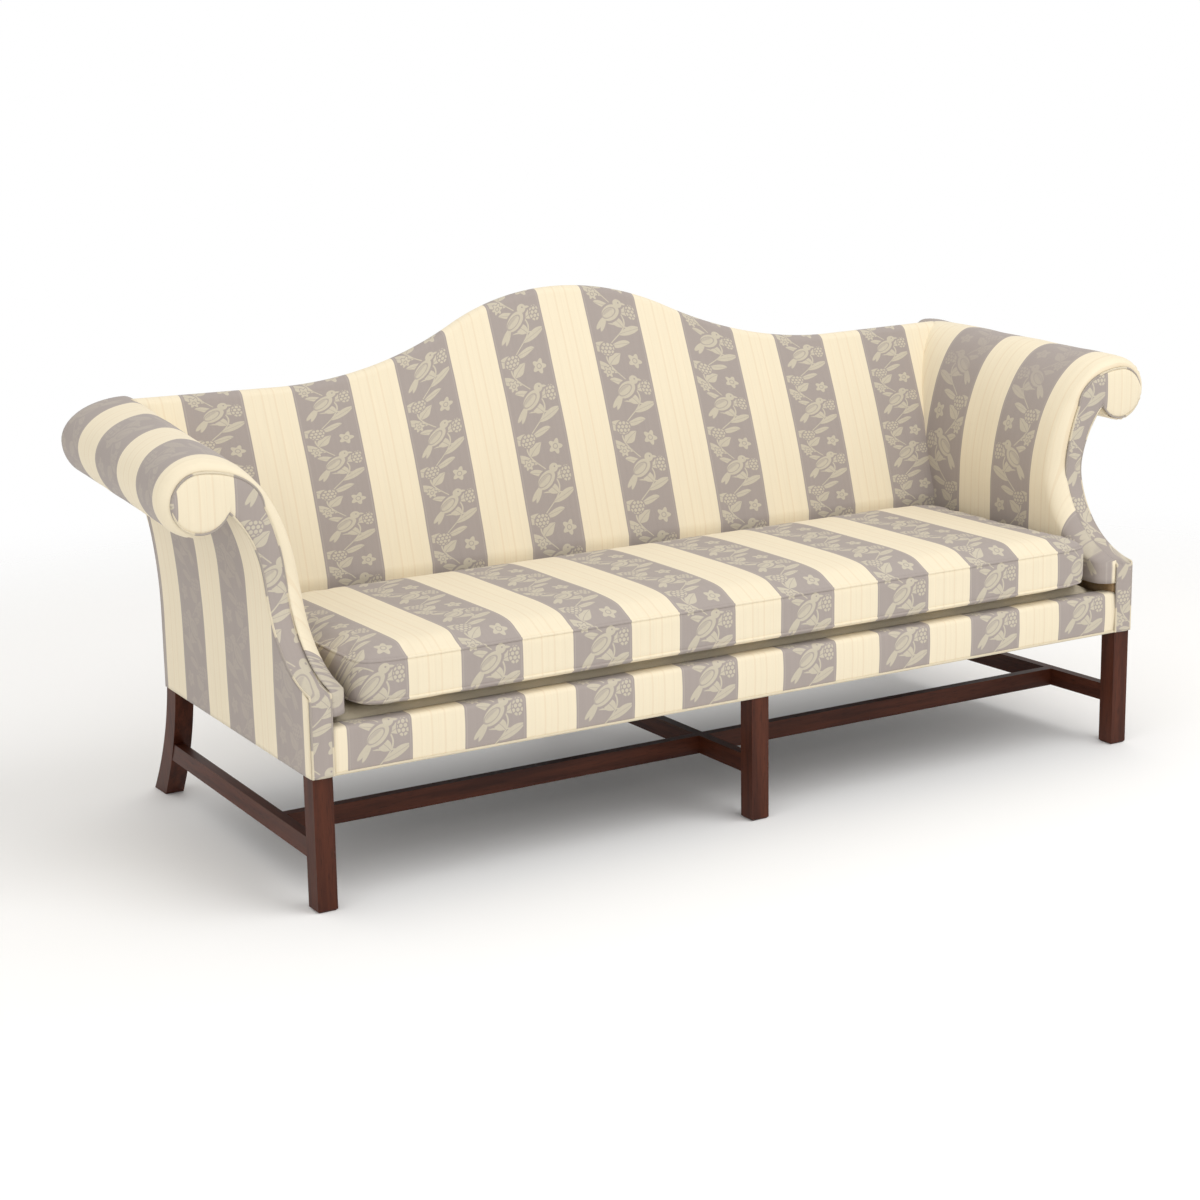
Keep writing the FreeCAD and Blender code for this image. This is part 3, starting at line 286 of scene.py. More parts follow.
def armGrid(side):
    """The arm's skin: a gathered lip behind the facing, then straight runs to the rear."""
    lipSteps, runSteps = 11, 64
    quarter = np.linspace(0, np.pi / 2, lipSteps)
    start = sweepBack(frontSection[:, 1])
    lip = np.minimum(arm["lipDepth"], np.linalg.norm(frontSection - facingEdge, axis=1) + 6)
    edge = facingEdge[None] + (frontSection - facingEdge)[None] * np.sin(quarter)[:, None, None]
    edgeBack = start[None] + 2 + lip[None] * (1 - np.cos(quarter))[:, None]
    # gathers stand out from the roll's centre, strongest round the scroll
    along = alongOf(facingEdge) * 1000
    first = along[counts["wall"] + counts["over"] // 2]
    strength = np.clip((along - first) / 60, 0, 1)[None] * np.sin(quarter * 2)[:, None]
    outwards = facingEdge - np.array(arm["scroll"])
    outwards /= np.linalg.norm(outwards, axis=1, keepdims=True)
    wave = np.sin(along * 2 * np.pi / arm["gather"]) + 0.5 * np.sin(along * 4.1 / arm["gather"])
    edge = edge + outwards[None] * (strength * wave[None] * arm["gatherHeight"])[..., None]
    share = np.linspace(0, 1, runSteps)[1:, None]
    runBack = edgeBack[-1][None] * (1 - share) + (rearFace + 4) * share
    blend = np.clip((runBack - arm["sweepDepth"]) / (rearFace - arm["sweepDepth"]), 0, 1)
    run = frontSection[None] * (1 - blend[..., None]) + rearSection[None] * blend[..., None]
    flat = np.concatenate([edge, run])
    y = np.concatenate([edgeBack, runBack])
    up = np.broadcast_to(alongOf(frontSection)[None], y.shape)
    soft = arm["softHeight"] * ripple(y, up * 1000, arm["softPitch"], 5 + side)
    soft = soft * np.clip((y - start - 40) / 60, 0, 1)
    away = flat - np.array(arm["softCentre"])
    flat = flat + away / np.linalg.norm(away, axis=-1, keepdims=True) * soft[..., None]
    grid = np.stack([side * flat[..., 0], y, flat[..., 1]], -1)
    crown = up[0, counts["wall"] + counts["over"] - 2]
    slant = arm["slant"] * np.clip(up - crown, 0, 0.2) * np.clip((y - start - 10) / 110, 0, 1)
    greyFront = arm["greyLeft"] if side < 0 else arm["greyRight"]
    across = (y - greyFront) / 1000 + slant + cloth["cream"] / 2
    return grid, np.stack([across, up], -1)


def outerCurve(edge, neck, throat, count):
    """Outside of the arm at one station, from its bottom edge up to the throat."""
    straight = lineTo((edge, sofa["legHeight"]), (edge, neck), count)
    return chain(straight, uprightArc((edge, neck), throat, count))


def scrollThroat(roll):
    turn = math.radians(arm["throatTurn"])
    inset = arm["scrollInset"]
    return (roll[0] - inset[0] - arm["scrollRadius"] * math.cos(turn),
            roll[1] - inset[1] - arm["scrollRadius"] * math.sin(turn))


def resample(points, count):
    """The same line with evenly spaced points."""
    along = alongOf(points)
    even = np.linspace(0, along[-1], count)
    return np.stack([np.interp(even, along, points[:, k]) for k in range(points.shape[1])], 1)


def outsideArmGrid(side):
    """The outside arm: upright stripes between the swept front and the rear corner."""
    front = resample(outerCurve(sofa["halfWidth"], arm["outerNeck"],
                                scrollThroat(arm["rollFront"]), 30), 60)
    rear = resample(outerCurve(sofa["rearHalfWidth"], arm["outerNeckRear"],
                               scrollThroat(arm["rollRear"]), 30), 60)
    start = sweepBack(front[:, 1])
    share = np.linspace(0, 1, 50)[:, None]
    y = start[None] * (1 - share) + sofa["sideDepth"] * share
    blend = np.clip((y - sofa["legSquare"]) / (sofa["sideDepth"] - sofa["legSquare"]), 0, 1)
    flat = front[None] * (1 - blend[..., None]) + rear[None] * blend[..., None]
    swell = arm["outsideSwell"] * np.sin(np.pi * share) * np.sin(
        np.pi * np.linspace(0, 1, 60))[None]
    grid = np.stack([side * (flat[..., 0] + swell), y, flat[..., 1]], -1)
    across = (y - arm["greyOutside"]) / 1000 + cloth["cream"] / 2
    return grid, np.stack([across, flat[..., 1] / 1000], -1)


def facingGrid(side):
    """The facing between its inner edge and its outer edge, swept back in side view."""
    scroll, radius = arm["scroll"], arm["scrollRadius"]
    low = sofa["legHeight"]
    inner = chain(
        lineTo((arm["facingIn"], low), (arm["facingIn"], arm["facingNeck"]), 20),
        uprightArc((arm["facingIn"], arm["facingNeck"]), arm["shoulder"], 12),
        turnBy((scroll[0], arm["shoulder"][1]), scroll[0] - arm["shoulder"][0],
               scroll[1] + radius - arm["shoulder"][1], 180, 90, 14),
        turnBy(scroll, radius, radius, 90, 0, 14))
    outer = chain(
        outerCurve(sofa["halfWidth"], arm["outerNeck"], scrollThroat(arm["rollFront"]), 20),
        turnBy(scroll, radius, radius, -180 + arm["throatTurn"], -90, 12),
        turnBy(scroll, radius, radius, -90, 0, 12))
    inner, outer = resample(inner, 110), resample(outer, 110)
    share = np.linspace(0, 1, 15)[None, :, None]
    flat = inner[:, None] * (1 - share) + outer[:, None] * share
    dome = arm["dome"] * np.sqrt(np.clip(4 * share * (1 - share), 0, 1))[..., 0]
    y = sweepBack(flat[..., 1]) - dome
    grid = np.stack([side * flat[..., 0], y, flat[..., 1]], -1)
    middle = arm["creamFacingLeft"] if side < 0 else arm["creamFacingRight"]
    return grid, np.stack([side * (flat[..., 0] - middle), flat[..., 1]], -1) / 1000


def backGrid():
    """The inside back: up the leaning face, over the rounded crest and a little down behind."""
    half = np.linspace(-1, 1, 181)
    edge = 0.4 * back["thick"]
    faceSteps, topSteps = 60, 17
    x = half * back["crestReach"]
    top = crestSpot(x, 0.0, edge)
    foot = np.stack([x, np.full_like(x, back["depth"]), np.full_like(x, back["seatLine"])], -1)
    low = foot.copy()
    low[:, 2] = arm["deckTop"] + 20
    share = np.linspace(0, 1, faceSteps)[:, None, None]
    face = foot[None] * (1 - share) + top[None] * share
    face[..., 1] -= back["swell"] * np.sin(np.pi * np.linspace(0, 1, faceSteps))[:, None] * (
        1 - half[None] ** 6)
    turn = np.radians(np.linspace(180, 90, topSteps))[1:]
    rounded = [crestSpot(x, edge + edge * math.cos(a), edge - edge * math.sin(a)) for a in turn]
    behind = np.radians(np.linspace(90, 0, topSteps))[1:]
    rest = back["thick"] - edge
    drop = back["crestDrop"]
    rounded += [crestSpot(x, edge + rest * math.cos(a), drop - drop * math.sin(a))
                for a in behind]
    lower = low[None] + (foot - low)[None] * np.linspace(0, 1, 9)[:-1, None, None]
    grid = np.concatenate([lower, face, np.stack(rounded)])
    # low down the sides stay within the outside arms; the crest runs into the rolls
    reach = np.interp(grid[..., 2], back["sideHeights"], back["sideReach"])
    grid[..., 0] = np.clip(grid[..., 0], -reach, reach)
    middle = grid[:, 90]
    up = np.broadcast_to(alongOf(middle)[:, None], grid.shape[:2])
    return grid, np.stack([grid[..., 0] / 1000, up], -1)


def outsideBackGrid():
    """The outside back: flat, from the bottom edge up to the crest."""
    x = np.linspace(-sofa["rearHalfWidth"], sofa["rearHalfWidth"], 121)
    low = np.stack([x, np.full_like(x, sofa["sideDepth"]),
                    np.full_like(x, sofa["legHeight"])], -1)
    top = crestSpot(x, back["thick"] + sofa["clothDepth"], back["padding"] / 2)
    share = np.linspace(0, 1, 60)[:, None, None]
    grid = low[None] * (1 - share) + top[None] * share
    return grid, np.stack([grid[..., 0], grid[..., 2]], -1) / 1000


def wingGrid(side):
    """The closed rear end of the arm roll: from its outline towards the corner of the back."""
    roll, spread = arm["rollRear"], arm["crownRear"]
    corner = (sofa["rearHalfWidth"], arm["wingTop"])
    foot = (sofa["rearHalfWidth"], arm["outerNeckRear"])
    tucked = roll[2] - arm["wingTuck"]
    outline = chain(lineTo(corner, (roll[0] - spread, roll[1] + roll[2]), 8),
                    turnBy((roll[0] - spread, roll[1]), roll[2] + spread, roll[2], 90, 0, 20),
                    turnBy(roll, roll[2], roll[2], 0, -90, 20),
                    turnBy(roll, tucked, tucked, -90, arm["wingTurn"], 10))
    outline = resample(outline, 60)
    inner = resample(lineTo(corner, foot, 10), 60)
    curve = uprightArc(foot, tuple(outline[-1]), 30)[::-1]
    edge = resample(chain(outline, curve), 60)
    share = np.linspace(0, 1, 14)[None, :, None]
    flat = inner[:, None] * (1 - share) + edge[:, None] * share
    y = np.full(flat.shape[:2], sofa["sideDepth"] + 1.0)
    grid = np.stack([side * flat[..., 0], y, flat[..., 1]], -1)
    return grid, np.stack([side * flat[..., 0] / 1000, flat[..., 1] / 1000], -1)


rail = {"half": 891.0, "top": 327.0, "round": 8.0, "depth": 34.0, "swell": 2.5}


def railGrid():
    """The front rail cover: up its face and over a small round at the top."""
    low, turned, top = sofa["legHeight"], rail["round"], rail["top"]
    section = chain(lineTo((0.0, low), (0.0, top - turned), 12),
                    turnBy((turned, top - turned), turned, turned, 180, 90, 8),
                    lineTo((turned, top), (rail["depth"], top), 5))
    x = np.linspace(-rail["half"], rail["half"], 161)
    up = alongOf(section)
    grid = np.stack(np.broadcast_arrays(x[None], section[:, :1], section[:, 1:]), -1)
    swell = rail["swell"] * np.sin(np.pi * np.clip(up / ((top - low) / 1000), 0, 1))
    grid[..., 1] -= swell[:, None]
    return grid, np.stack(np.broadcast_arrays(x[None] / 1000, up[:, None]), -1)


cushion = {
    "halfWide": 851.0, "nose": -15.0, "rear": 542.0, "low": 347.4, "seam": 84.0, "crown": 15.0,
    "sideRoom": 8.0, "endRoom": 6.0,              # left at each side for it to swell into
    "corner": 18.0, "pressure": 4.0, "voxel": 0.008, "cap": 0.014, "frames": 20,
    "stiff": 12, "bending": 0.6,
    "welt": 3.0, "weltCorner": 14.0, "upperWelt": -3.0, "lowerWelt": 9.0,
}


def cushionShell():
    """The cushion before it swells: a rounded rectangle in plan, boxing, crowned top, flat base."""
    turn = np.linspace(0, 2 * np.pi, 240, endpoint=False)
    wide = cushion["halfWide"] - cushion["sideRoom"]
    deep = (cushion["rear"] - cushion["nose"]) / 2 - cushion["endRoom"]
    middle = (cushion["rear"] + cushion["nose"]) / 2
    power = 2 / cushion["corner"]
    cx = np.sign(np.cos(turn)) * np.abs(np.cos(turn)) ** power
    cy = np.sign(np.sin(turn)) * np.abs(np.sin(turn)) ** power
    rings = [(share, 0.0) for share in np.linspace(0.02, 0.97, 12)]
    rings += [(0.985, 3.0)]
    rings += [(1.0, up) for up in np.linspace(8, cushion["seam"] - 6, 9)]
    tops = np.linspace(0.985, 0.02, 18)
    rings += [(share, cushion["seam"] + cushion["crown"] * (1 - share ** 4)) for share in tops]
    scale = np.array([r[0] for r in rings])[:, None]
    up = np.array([r[1] for r in rings])[:, None]
    return np.stack(np.broadcast_arrays(
        wide * scale * cx[None], middle + deep * scale * cy[None], cushion["low"] + up), -1)


# shader maths: a wired value on which plain arithmetic adds Math nodes

class Wired:
    def __init__(self, maker, socket):
        self.maker, self.socket = maker, socket

    def math(self, operation, *others):
        return self.maker.node("ShaderNodeMath", {"operation": operation},
                               dict(enumerate((self,) + others)))

    def __add__(self, other):
        return self.math("ADD", other)

    def __sub__(self, other):
        return self.math("SUBTRACT", other)

    def __rsub__(self, other):
        return self.maker.node("ShaderNodeMath", {"operation": "SUBTRACT"}, {0: other, 1: self})

    def __mul__(self, other):
        return self.math("MULTIPLY", other)

    def __truediv__(self, other):
        return self.math("DIVIDE", other)

    def __abs__(self):
        return self.math("ABSOLUTE")

    def __mod__(self, other):
        return self.math("FLOORED_MODULO", other)

    __radd__, __rmul__ = __add__, __mul__


class Maker:
    def __init__(self, name):
        self.material = bpy.data.materials.new(name)
        self.material.use_nodes = True
        self.tree = self.material.node_tree
        self.shader = self.tree.nodes["Principled BSDF"]

    def fill(self, node, inputs):
        """Sets or links the sockets of a node."""
        for key, value in inputs.items():
            if isinstance(value, Wired):
                self.tree.links.new(value.socket, node.inputs[key])
            else:
                node.inputs[key].default_value = value

    def node(self, kind, settings=None, inputs=None, output=0):
        """One node: its settings first, then the values or links of its sockets."""
        made = self.tree.nodes.new(kind)
        for key, value in (settings or {}).items():
            setattr(made, key, value)
        self.fill(made, inputs or {})
        return Wired(self, made.outputs[output])

    def mix(self, share, first, second):
        """A colour between two others."""
        return self.node("ShaderNodeMix", {"data_type": "RGBA"},
                         {0: share, 6: first, 7: second}, 2)

    def step(self, value, low, high):
        """A smooth rise from 0 at low to 1 at high."""
        return self.node("ShaderNodeMapRange", {"interpolation_type": "SMOOTHSTEP"},
                         {0: value, 1: low, 2: high, 3: 0.0, 4: 1.0})

    def parts(self, vector):
        split = self.tree.nodes.new("ShaderNodeSeparateXYZ")
        self.tree.links.new(vector.socket, split.inputs[0])
        return [Wired(self, socket) for socket in split.outputs]

    def stretched(self, scale, source="Object"):
        """Object coordinates or the cloth's own, scaled along each axis."""
        if source == "Object":
            place = self.node("ShaderNodeTexCoord", output="Object")
        else:
            place = self.node("ShaderNodeUVMap", {"uv_map": source})
        return self.node("ShaderNodeMapping", None, {0: place, "Scale": scale})

    def noise(self, vector, scale, detail=2.0, rough=0.5):
        return self.node("ShaderNodeTexNoise", None, {
            "Vector": vector, "Scale": scale, "Detail": detail, "Roughness": rough})

    def bump(self, height, distance, strength=1.0):
        return self.node("ShaderNodeBump", None, {
            "Height": height, "Distance": distance, "Strength": strength}, "Normal")

    def shade(self, inputs):
        self.fill(self.shader, inputs)


weave = {
    "cream": (0.835, 0.74, 0.555, 1), "creamLine": (0.76, 0.62, 0.43, 1),
    "grey": (0.375, 0.325, 0.30, 1), "figure": (0.585, 0.53, 0.415, 1),
    "greyEdge": (0.435, 0.385, 0.35, 1),
}


def blob(a, b, place, size, tilt, pointed=False):
    """Depth inside an ellipse, or inside a leaf pointed at both ends, in millimetres."""
    c, s = math.cos(math.radians(tilt)), math.sin(math.radians(tilt))
    x = a.math("MULTIPLY_ADD", c / size[0], b.math(
        "MULTIPLY_ADD", s / size[0], -(place[0] * c + place[1] * s) / size[0]))
    y = a.math("MULTIPLY_ADD", -s / size[1], b.math(
        "MULTIPLY_ADD", c / size[1], (place[0] * s - place[1] * c) / size[1]))
    if pointed:
        return (1 - abs(y) - x * x) * size[1], y * size[1]
    return (1 - (x * x + y * y).math("SQRT")) * min(size), y


def greatest(*fields):
    most = fields[0]
    for field in fields[1:]:
        most = most.math("MAXIMUM", field)
    return most


def figureOf(maker, a, b):
    """A perched songbird, a winding stem with leaves, two blossoms and berries: 0 to 1."""
    body = blob(a, b, (-4, 58), (25, 15), 38)[0]
    head = blob(a, b, (17, 81), (10.5, 9.5), 20)[0]
    beak = blob(a, b, (29, 82), (7.5, 2.6), -6, True)[0]
    tail = blob(a, b, (-32, 33), (19, 5.0), 48)[0]
    tailLow = blob(a, b, (-27, 29), (17, 4.2), 60)[0]
    legs = greatest(blob(a, b, (3, 38), (8, 1.1), 80)[0],
                    blob(a, b, (11, 41), (8, 1.1), 76)[0])
    bird = greatest(body, head, beak, tail, tailLow)
    wing, rib = blob(a, b, (-8, 57), (19, 9), 34)
    outline = 1 - maker.step(abs(wing), 0.4, 1.3)
    eye = maker.step(blob(a, b, (19.5, 83), (1.9, 1.9), 0)[0], -0.3, 0.5)
    feather = maker.step((rib * 3.0).math("SINE"), 0.2, 0.9) * maker.step(wing, 0.8, 2.0)
    birdMask = maker.step(bird, -0.5, 0.5) * (1 - outline * 0.8) * (1 - eye)
    birdMask = birdMask * (1 - feather * 0.45)
    clear = 1 - maker.step(bird, -5.0, -3.6)

    repeat = cloth["figure"] * 1000
    aside = a - ((b * (2 * math.pi / repeat)).math("SINE") * 30.0 - 6.0)
    vine = 1.7 - abs(aside)
    twig = blob(a, b, (6, 31), (40, 1.7), -7)[0]
    cell = b % (repeat / 2)
    mirrored = aside * ((b / (repeat / 2)).math("FLOOR") * -2.0 + 1.0)
    leafOne, veinOne = blob(mirrored, cell, (17, 22), (23, 11.5), 32, True)
    leafTwo, veinTwo = blob(mirrored, cell, (-17, 40), (21, 10.5), 142, True)
    leafThree, veinThree = blob(mirrored, cell, (21, 66), (22, 10.5), 18, True)
    leafFour, veinFour = blob(mirrored, cell, (-22, 74), (19, 9.5), 165, True)
    leaves = greatest(leafOne, leafTwo, leafThree, leafFour)
    veins = greatest(*[(0.9 - abs(v)) + leaf.math("MINIMUM", 0.0) for leaf, v in (
        (leafOne, veinOne), (leafTwo, veinTwo), (leafThree, veinThree), (leafFour, veinFour))])
    veinMask = maker.step(veins, 0.0, 0.8)

    def blossom(place, radius, petals, phase):
        x, y = a - place[0], b - place[1]
        reach = (x * x + y * y).math("SQRT")
        lobe = (y.math("ARCTAN2", x) * petals + phase).math("COSINE")
        rim = radius * 0.80 + lobe * (radius * 0.2) - reach
        ring = 1 - maker.step(abs(reach - radius * 0.3), 0.5, 1.3)
        return rim, ring

    rimOne, ringOne = blossom((30, 124), 17.0, 5, 0.4)
    rimTwo, ringTwo = blossom((-38, 96), 12.5, 6, 0.0)
    flowers = greatest(rimOne, rimTwo)
    rings = greatest(ringOne, ringTwo)
    berryX = ((a + 4.5 * (b / 8.0).math("FLOOR")) % 9.0) - 4.5
    berryY = (b % 8.0) - 4.0
    berry = 3.6 - (berryX * berryX + berryY * berryY).math("SQRT")
    bunches = greatest(blob(a, b, (-30, 146), (17, 14), 20)[0],
                       blob(a, b, (45, 66), (12, 17), 0)[0])
    berries = berry.math("MINIMUM", bunches)

    green = maker.step(greatest(vine, twig, leaves, legs), -0.5, 0.5) * (1 - veinMask * 0.8)
    free = 1 - maker.step(greatest(flowers, bunches), -2.6, -1.6)
    green = green * free
    bloom = maker.step(flowers, -0.5, 0.5) * (1 - rings * 0.85)
    fruit = maker.step(berries, -0.4, 0.5)
    return birdMask.math("MAXIMUM", greatest(green, bloom, fruit) * clear)


def clothMaterial(name, strength, fadeFrom=None):
    """Cream and grey stripes; the grey carries the figure, which fades along the cloth and with a
    lower strength as painted sheen, where light on the satin hides it.
    """
    maker = Maker(name)
    place = maker.node("ShaderNodeUVMap", {"uv_map": "cloth"})
    u, v, _ = maker.parts(place)
    wander = maker.noise(maker.stretched((1, 1, 1)), 9.0)
    across = (u * 1000 + cloth["cream"] * 500 + (wander - 0.5) * 2.2) % (cloth["repeat"] * 1000)
    along = (v * 1000) % (cloth["figure"] * 1000)
    width = cloth["cream"] * 1000
    grey = maker.step(across, width - 0.5, width + 0.5) * (
        1 - maker.step(across, cloth["repeat"] * 1000 - 0.7, cloth["repeat"] * 1000))
    middle = across - (width + cloth["repeat"] * 1000) / 2
    figure = figureOf(maker, middle, along)
    inside = maker.step(55.5 - abs(middle), 0.0, 1.0)
    grain = maker.noise(maker.stretched((900, 260, 1), "cloth"), 1.0, 3.0, 0.7)
    slub = maker.noise(maker.stretched((160, 5, 1), "cloth"), 1.0, 2.0, 0.6)
    figure = figure * inside * (0.72 + grain * 0.4)
    # painted sheen: the figure fades up the cloth towards the roll top, where light on the satin
    # hides it
    if fadeFrom is not None:
        figure = figure * (1 - maker.step(v, fadeFrom[0], fadeFrom[1]) * fadeFrom[2])
    # a low strength is painted sheen that hides the figure where the satin catches the light
    figure = figure * strength
    edgeLine = 1 - maker.step(abs(abs(middle) - 58.5), 0.5, 1.1)
    threads = maker.step(((middle * 2.9).math("SINE")), 0.1, 0.9)
    ground = maker.mix(edgeLine * 0.8 + threads * 0.22, weave["grey"], weave["greyEdge"])
    ground = maker.mix(figure, ground, weave["figure"])
    creamSide = across - width / 2
    lines = greatest(
        1 - maker.step(abs(abs(creamSide) - 13.0), 1.2, 2.4),
        (1 - maker.step(abs(abs(creamSide) - 34.0), 0.6, 1.4)) * 0.6,
        (1 - maker.step(abs(creamSide), 0.5, 1.3)) * 0.5)
    cream = maker.mix(lines * 0.42 * (0.5 + slub), weave["cream"], weave["creamLine"])
    colour = maker.mix(grey, cream, ground)
    shade = 0.93 + slub * 0.09 + grain * 0.05
    colour = maker.node("ShaderNodeVectorMath", {"operation": "SCALE"}, {0: colour, "Scale": shade})
    rough = 0.74 - figure * 0.12 - (1 - grey) * 0.10
    relief = figure * 0.5 * grey + grain * 0.35 + slub * 0.35
    maker.shade({"Base Color": colour, "Roughness": rough,
                 "Normal": maker.bump(relief, 0.0006, 0.7),
                 "Sheen Weight": 0.12, "Sheen Roughness": 0.45, "Specular IOR Level": 0.35})
    return maker.material


# the arm and outside copies carry painted sheen: their figure is faded where light on the satin
# hides it, over the roll tops and the outside arms and back
stripedCloth = clothMaterial("stripedCloth", 0.95)
armClothPaintedSheen = clothMaterial("armClothPaintedSheen", 0.85, fadeFrom=(0.30, 0.44, 0.72))
outsideClothPaintedSheen = clothMaterial("outsideClothPaintedSheen", 0.22)


def weltMaterial(name, striped):
    """Cord covered with bias cloth: slanting threads, and stripes passing along it."""
    maker = Maker(name)
    u, v, _ = maker.parts(maker.node("ShaderNodeUVMap", {"uv_map": "cloth"}))
    twist = ((u * 1000 + v * 1400) * 3.4).math("SINE")
    colour = weave["cream"]
    if striped:
        across = (u * 1000 + 20) % 161.0
        grey = maker.step(across, 70.0, 74.0) * (1 - maker.step(across, 156.0, 160.0))
        colour = maker.mix(grey, weave["cream"], weave["greyEdge"])
    colour = maker.mix(maker.step(twist, -0.2, 1.0) * 0.25, colour, weave["creamLine"])
    maker.shade({"Base Color": colour, "Roughness": 0.72,
                 "Normal": maker.bump(twist, 0.0005, 0.6), "Sheen Weight": 0.1})
    return maker.material


creamWelt = weltMaterial("creamWelt", False)
selfWelt = weltMaterial("selfWelt", True)


def woodMaterial(name, grainScale, dark, light, rough, coat):
    """Long grain, fine pores and a slow change of colour along the timber."""
    maker = Maker(name)
    spread = maker.stretched(grainScale)
    figure = maker.noise(spread, 5.0, 5.0, 0.6)
    pores = maker.noise(spread, 60.0, 2.0, 0.5)
    patch = maker.noise(maker.stretched((1, 1, 1)), 3.0, 1.0)
    share = maker.step(figure, 0.30, 0.72) * 0.7 + patch * 0.3
    colour = maker.mix(share, dark, light)
    poreColour = (*[c * 0.4 for c in dark[:3]], 1)
    colour = maker.mix(maker.step(pores, 0.56, 0.70) * 0.5, colour, poreColour)
    maker.shade({"Base Color": colour, "Roughness": rough + patch * 0.12,
                 "Normal": maker.bump(pores + figure * 0.5, 0.0004, 0.35),
                 "Coat Weight": coat, "Coat Roughness": 0.25, "Specular IOR Level": 0.2})
    return maker.material


mahogany = {"dark": (0.030, 0.0062, 0.0028, 1), "light": (0.105, 0.027, 0.011, 1),
            "rough": 0.42, "coat": 0.05}
legWood = woodMaterial("legWood", (9, 9, 0.6), **mahogany)
railWood = woodMaterial("railWood", (0.6, 9, 9), **mahogany)
sideWood = woodMaterial("sideWood", (9, 0.6, 9), **mahogany)
frameWood = woodMaterial("frameWood", (0.8, 7, 7), (0.40, 0.25, 0.12, 1), (0.60, 0.42, 0.24, 1),
                         0.6, 0.0)


def plainCloth(name, dark, light, threadSize, rough):
    """Plain weave: two crossed sets of threads with a little unevenness."""
    maker = Maker(name)
    x, y, z = maker.parts(maker.stretched((1, 1, 1)))
    warp = ((x + z * 0.37) * (6.283 / threadSize)).math("SINE")
    weft = ((y + z * 0.37) * (6.283 / threadSize)).math("SINE")
    uneven = maker.noise(maker.stretched((1, 1, 1)), 40.0, 3.0)
    share = maker.step(warp * weft, -0.5, 0.6) * 0.5 + uneven * 0.5
    maker.shade({"Base Color": maker.mix(share, dark, light), "Roughness": rough,
                 "Normal": maker.bump(warp * weft, 0.0004, 0.5)})
    return maker.material


def metal(name, dark, light, rough):
    """Drawn or plated steel: fine streaks and dull spots."""
    maker = Maker(name)
    spots = maker.noise(maker.stretched((1, 1, 1)), 90.0, 3.0)
    maker.shade({"Base Color": maker.mix(spots, dark, light), "Metallic": 1.0,
                 "Roughness": rough + spots * 0.2, "Normal": maker.bump(spots, 0.0002, 0.3)})
    return maker.material


deckCloth = plainCloth("deckCloth", (0.46, 0.40, 0.29, 1), (0.62, 0.55, 0.42, 1), 0.0016, 0.85)
dustCloth = plainCloth("dustCloth", (0.010, 0.010, 0.011, 1), (0.030, 0.030, 0.032, 1), 0.002, 0.9)
jute = plainCloth("jute", (0.30, 0.20, 0.10, 1), (0.48, 0.35, 0.20, 1), 0.003, 0.9)
springSteel = metal("springSteel", (0.16, 0.15, 0.14, 1), (0.30, 0.29, 0.28, 1), 0.35)
zincSteel = metal("zincSteel", (0.42, 0.42, 0.43, 1), (0.62, 0.62, 0.64, 1), 0.3)

grainOf = {"long_stretcher": railWood, "side_stretcher_left": sideWood,
           "side_stretcher_right": sideWood, "cross_stretcher": sideWood}
finishOf = {"dark_wood": legWood, "frame_wood": frameWood, "deck_cloth": deckCloth,
            "black_cloth": dustCloth, "webbing_jute": jute, "spring_steel": springSteel,
            "zinc_steel": zincSteel, "striped_fabric": stripedCloth}
slotOf = {part["node"]: part["material_slot"] for part in frame["record"]["subparts"]}
for name, piece in frame["nodes"].items():
    for place in piece.material_slots:
        place.material = grainOf.get(name, finishOf[slotOf[name]])
print("materials made")


# pieces

def dress(piece, *nodes, body="sofa_frame", slot="striped_fabric", material=stripedCloth):
    piece.data.materials.clear()
    piece.data.materials.append(material)
    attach(piece, body)
    if nodes:
        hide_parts(*nodes)
    return piece


def cut(piece, grid, flat=None):
    """Measures the flat size that a sheet's own grid spans, or takes the given one; the size is not
    kept.
    """
    points = metres(grid)
    wide = np.linalg.norm(np.diff(points, axis=1), axis=-1).sum(1).max()
    long = np.linalg.norm(np.diff(points, axis=0), axis=-1).sum(0).max()
    wide, long = flat or (wide, long)


for side, word in ((-1, "left"), (1, "right")):
    grid, uv = armGrid(side)
    skin = dress(sheetMesh("arm_skin_" + word, grid, uv, flip=side > 0),
                 "inside_arm_pad_" + word, material=armClothPaintedSheen)
    grid, uv = outsideArmGrid(side)
    cut(dress(sheetMesh("outside_arm_" + word, grid, uv, flip=side < 0),
              "outside_arm_cover_" + word, material=outsideClothPaintedSheen), grid)
    grid, uv = facingGrid(side)
    face = dress(sheetMesh("facing_" + word, grid, uv, flip=side > 0), "arm_facing_" + word)
    for edge, column in (("inner", 0), ("outer", -1)):
        path = resample(grid[:, column] - [0, arm["pipingForward"], 0], 200)
        dress(tubeMesh("piping_%s_%s" % (edge, word), path, arm["piping"], up=(0, 1, 0)),
              material=selfWelt)
    grid, uv = wingGrid(side)
    cut(dress(sheetMesh("wing_" + word, grid, uv, flip=side < 0),
              "outside_back_wing_" + word, material=outsideClothPaintedSheen), grid,
        tuple(np.ptp(metres(grid).reshape(-1, 3), axis=0)[[0, 2]]))
grid, uv = backGrid()
dress(sheetMesh("inside_back", grid, uv), "inside_back_pad")
grid, uv = outsideBackGrid()
cut(dress(sheetMesh("outside_back", grid, uv, flip=True), "outside_back_cover",
          material=outsideClothPaintedSheen), grid)
grid, uv = railGrid()
cut(dress(sheetMesh("rail_cover", grid, uv), "front_rail_cover"), grid)

# the dust cover is cut round the legs as its solid is
dust = bpy.data.objects.new("dust_sheet", frame["nodes"]["dust_cover"].data.copy())
bpy.context.scene.collection.objects.link(dust)
dress(dust, "dust_cover", slot="black_cloth", material=dustCloth)

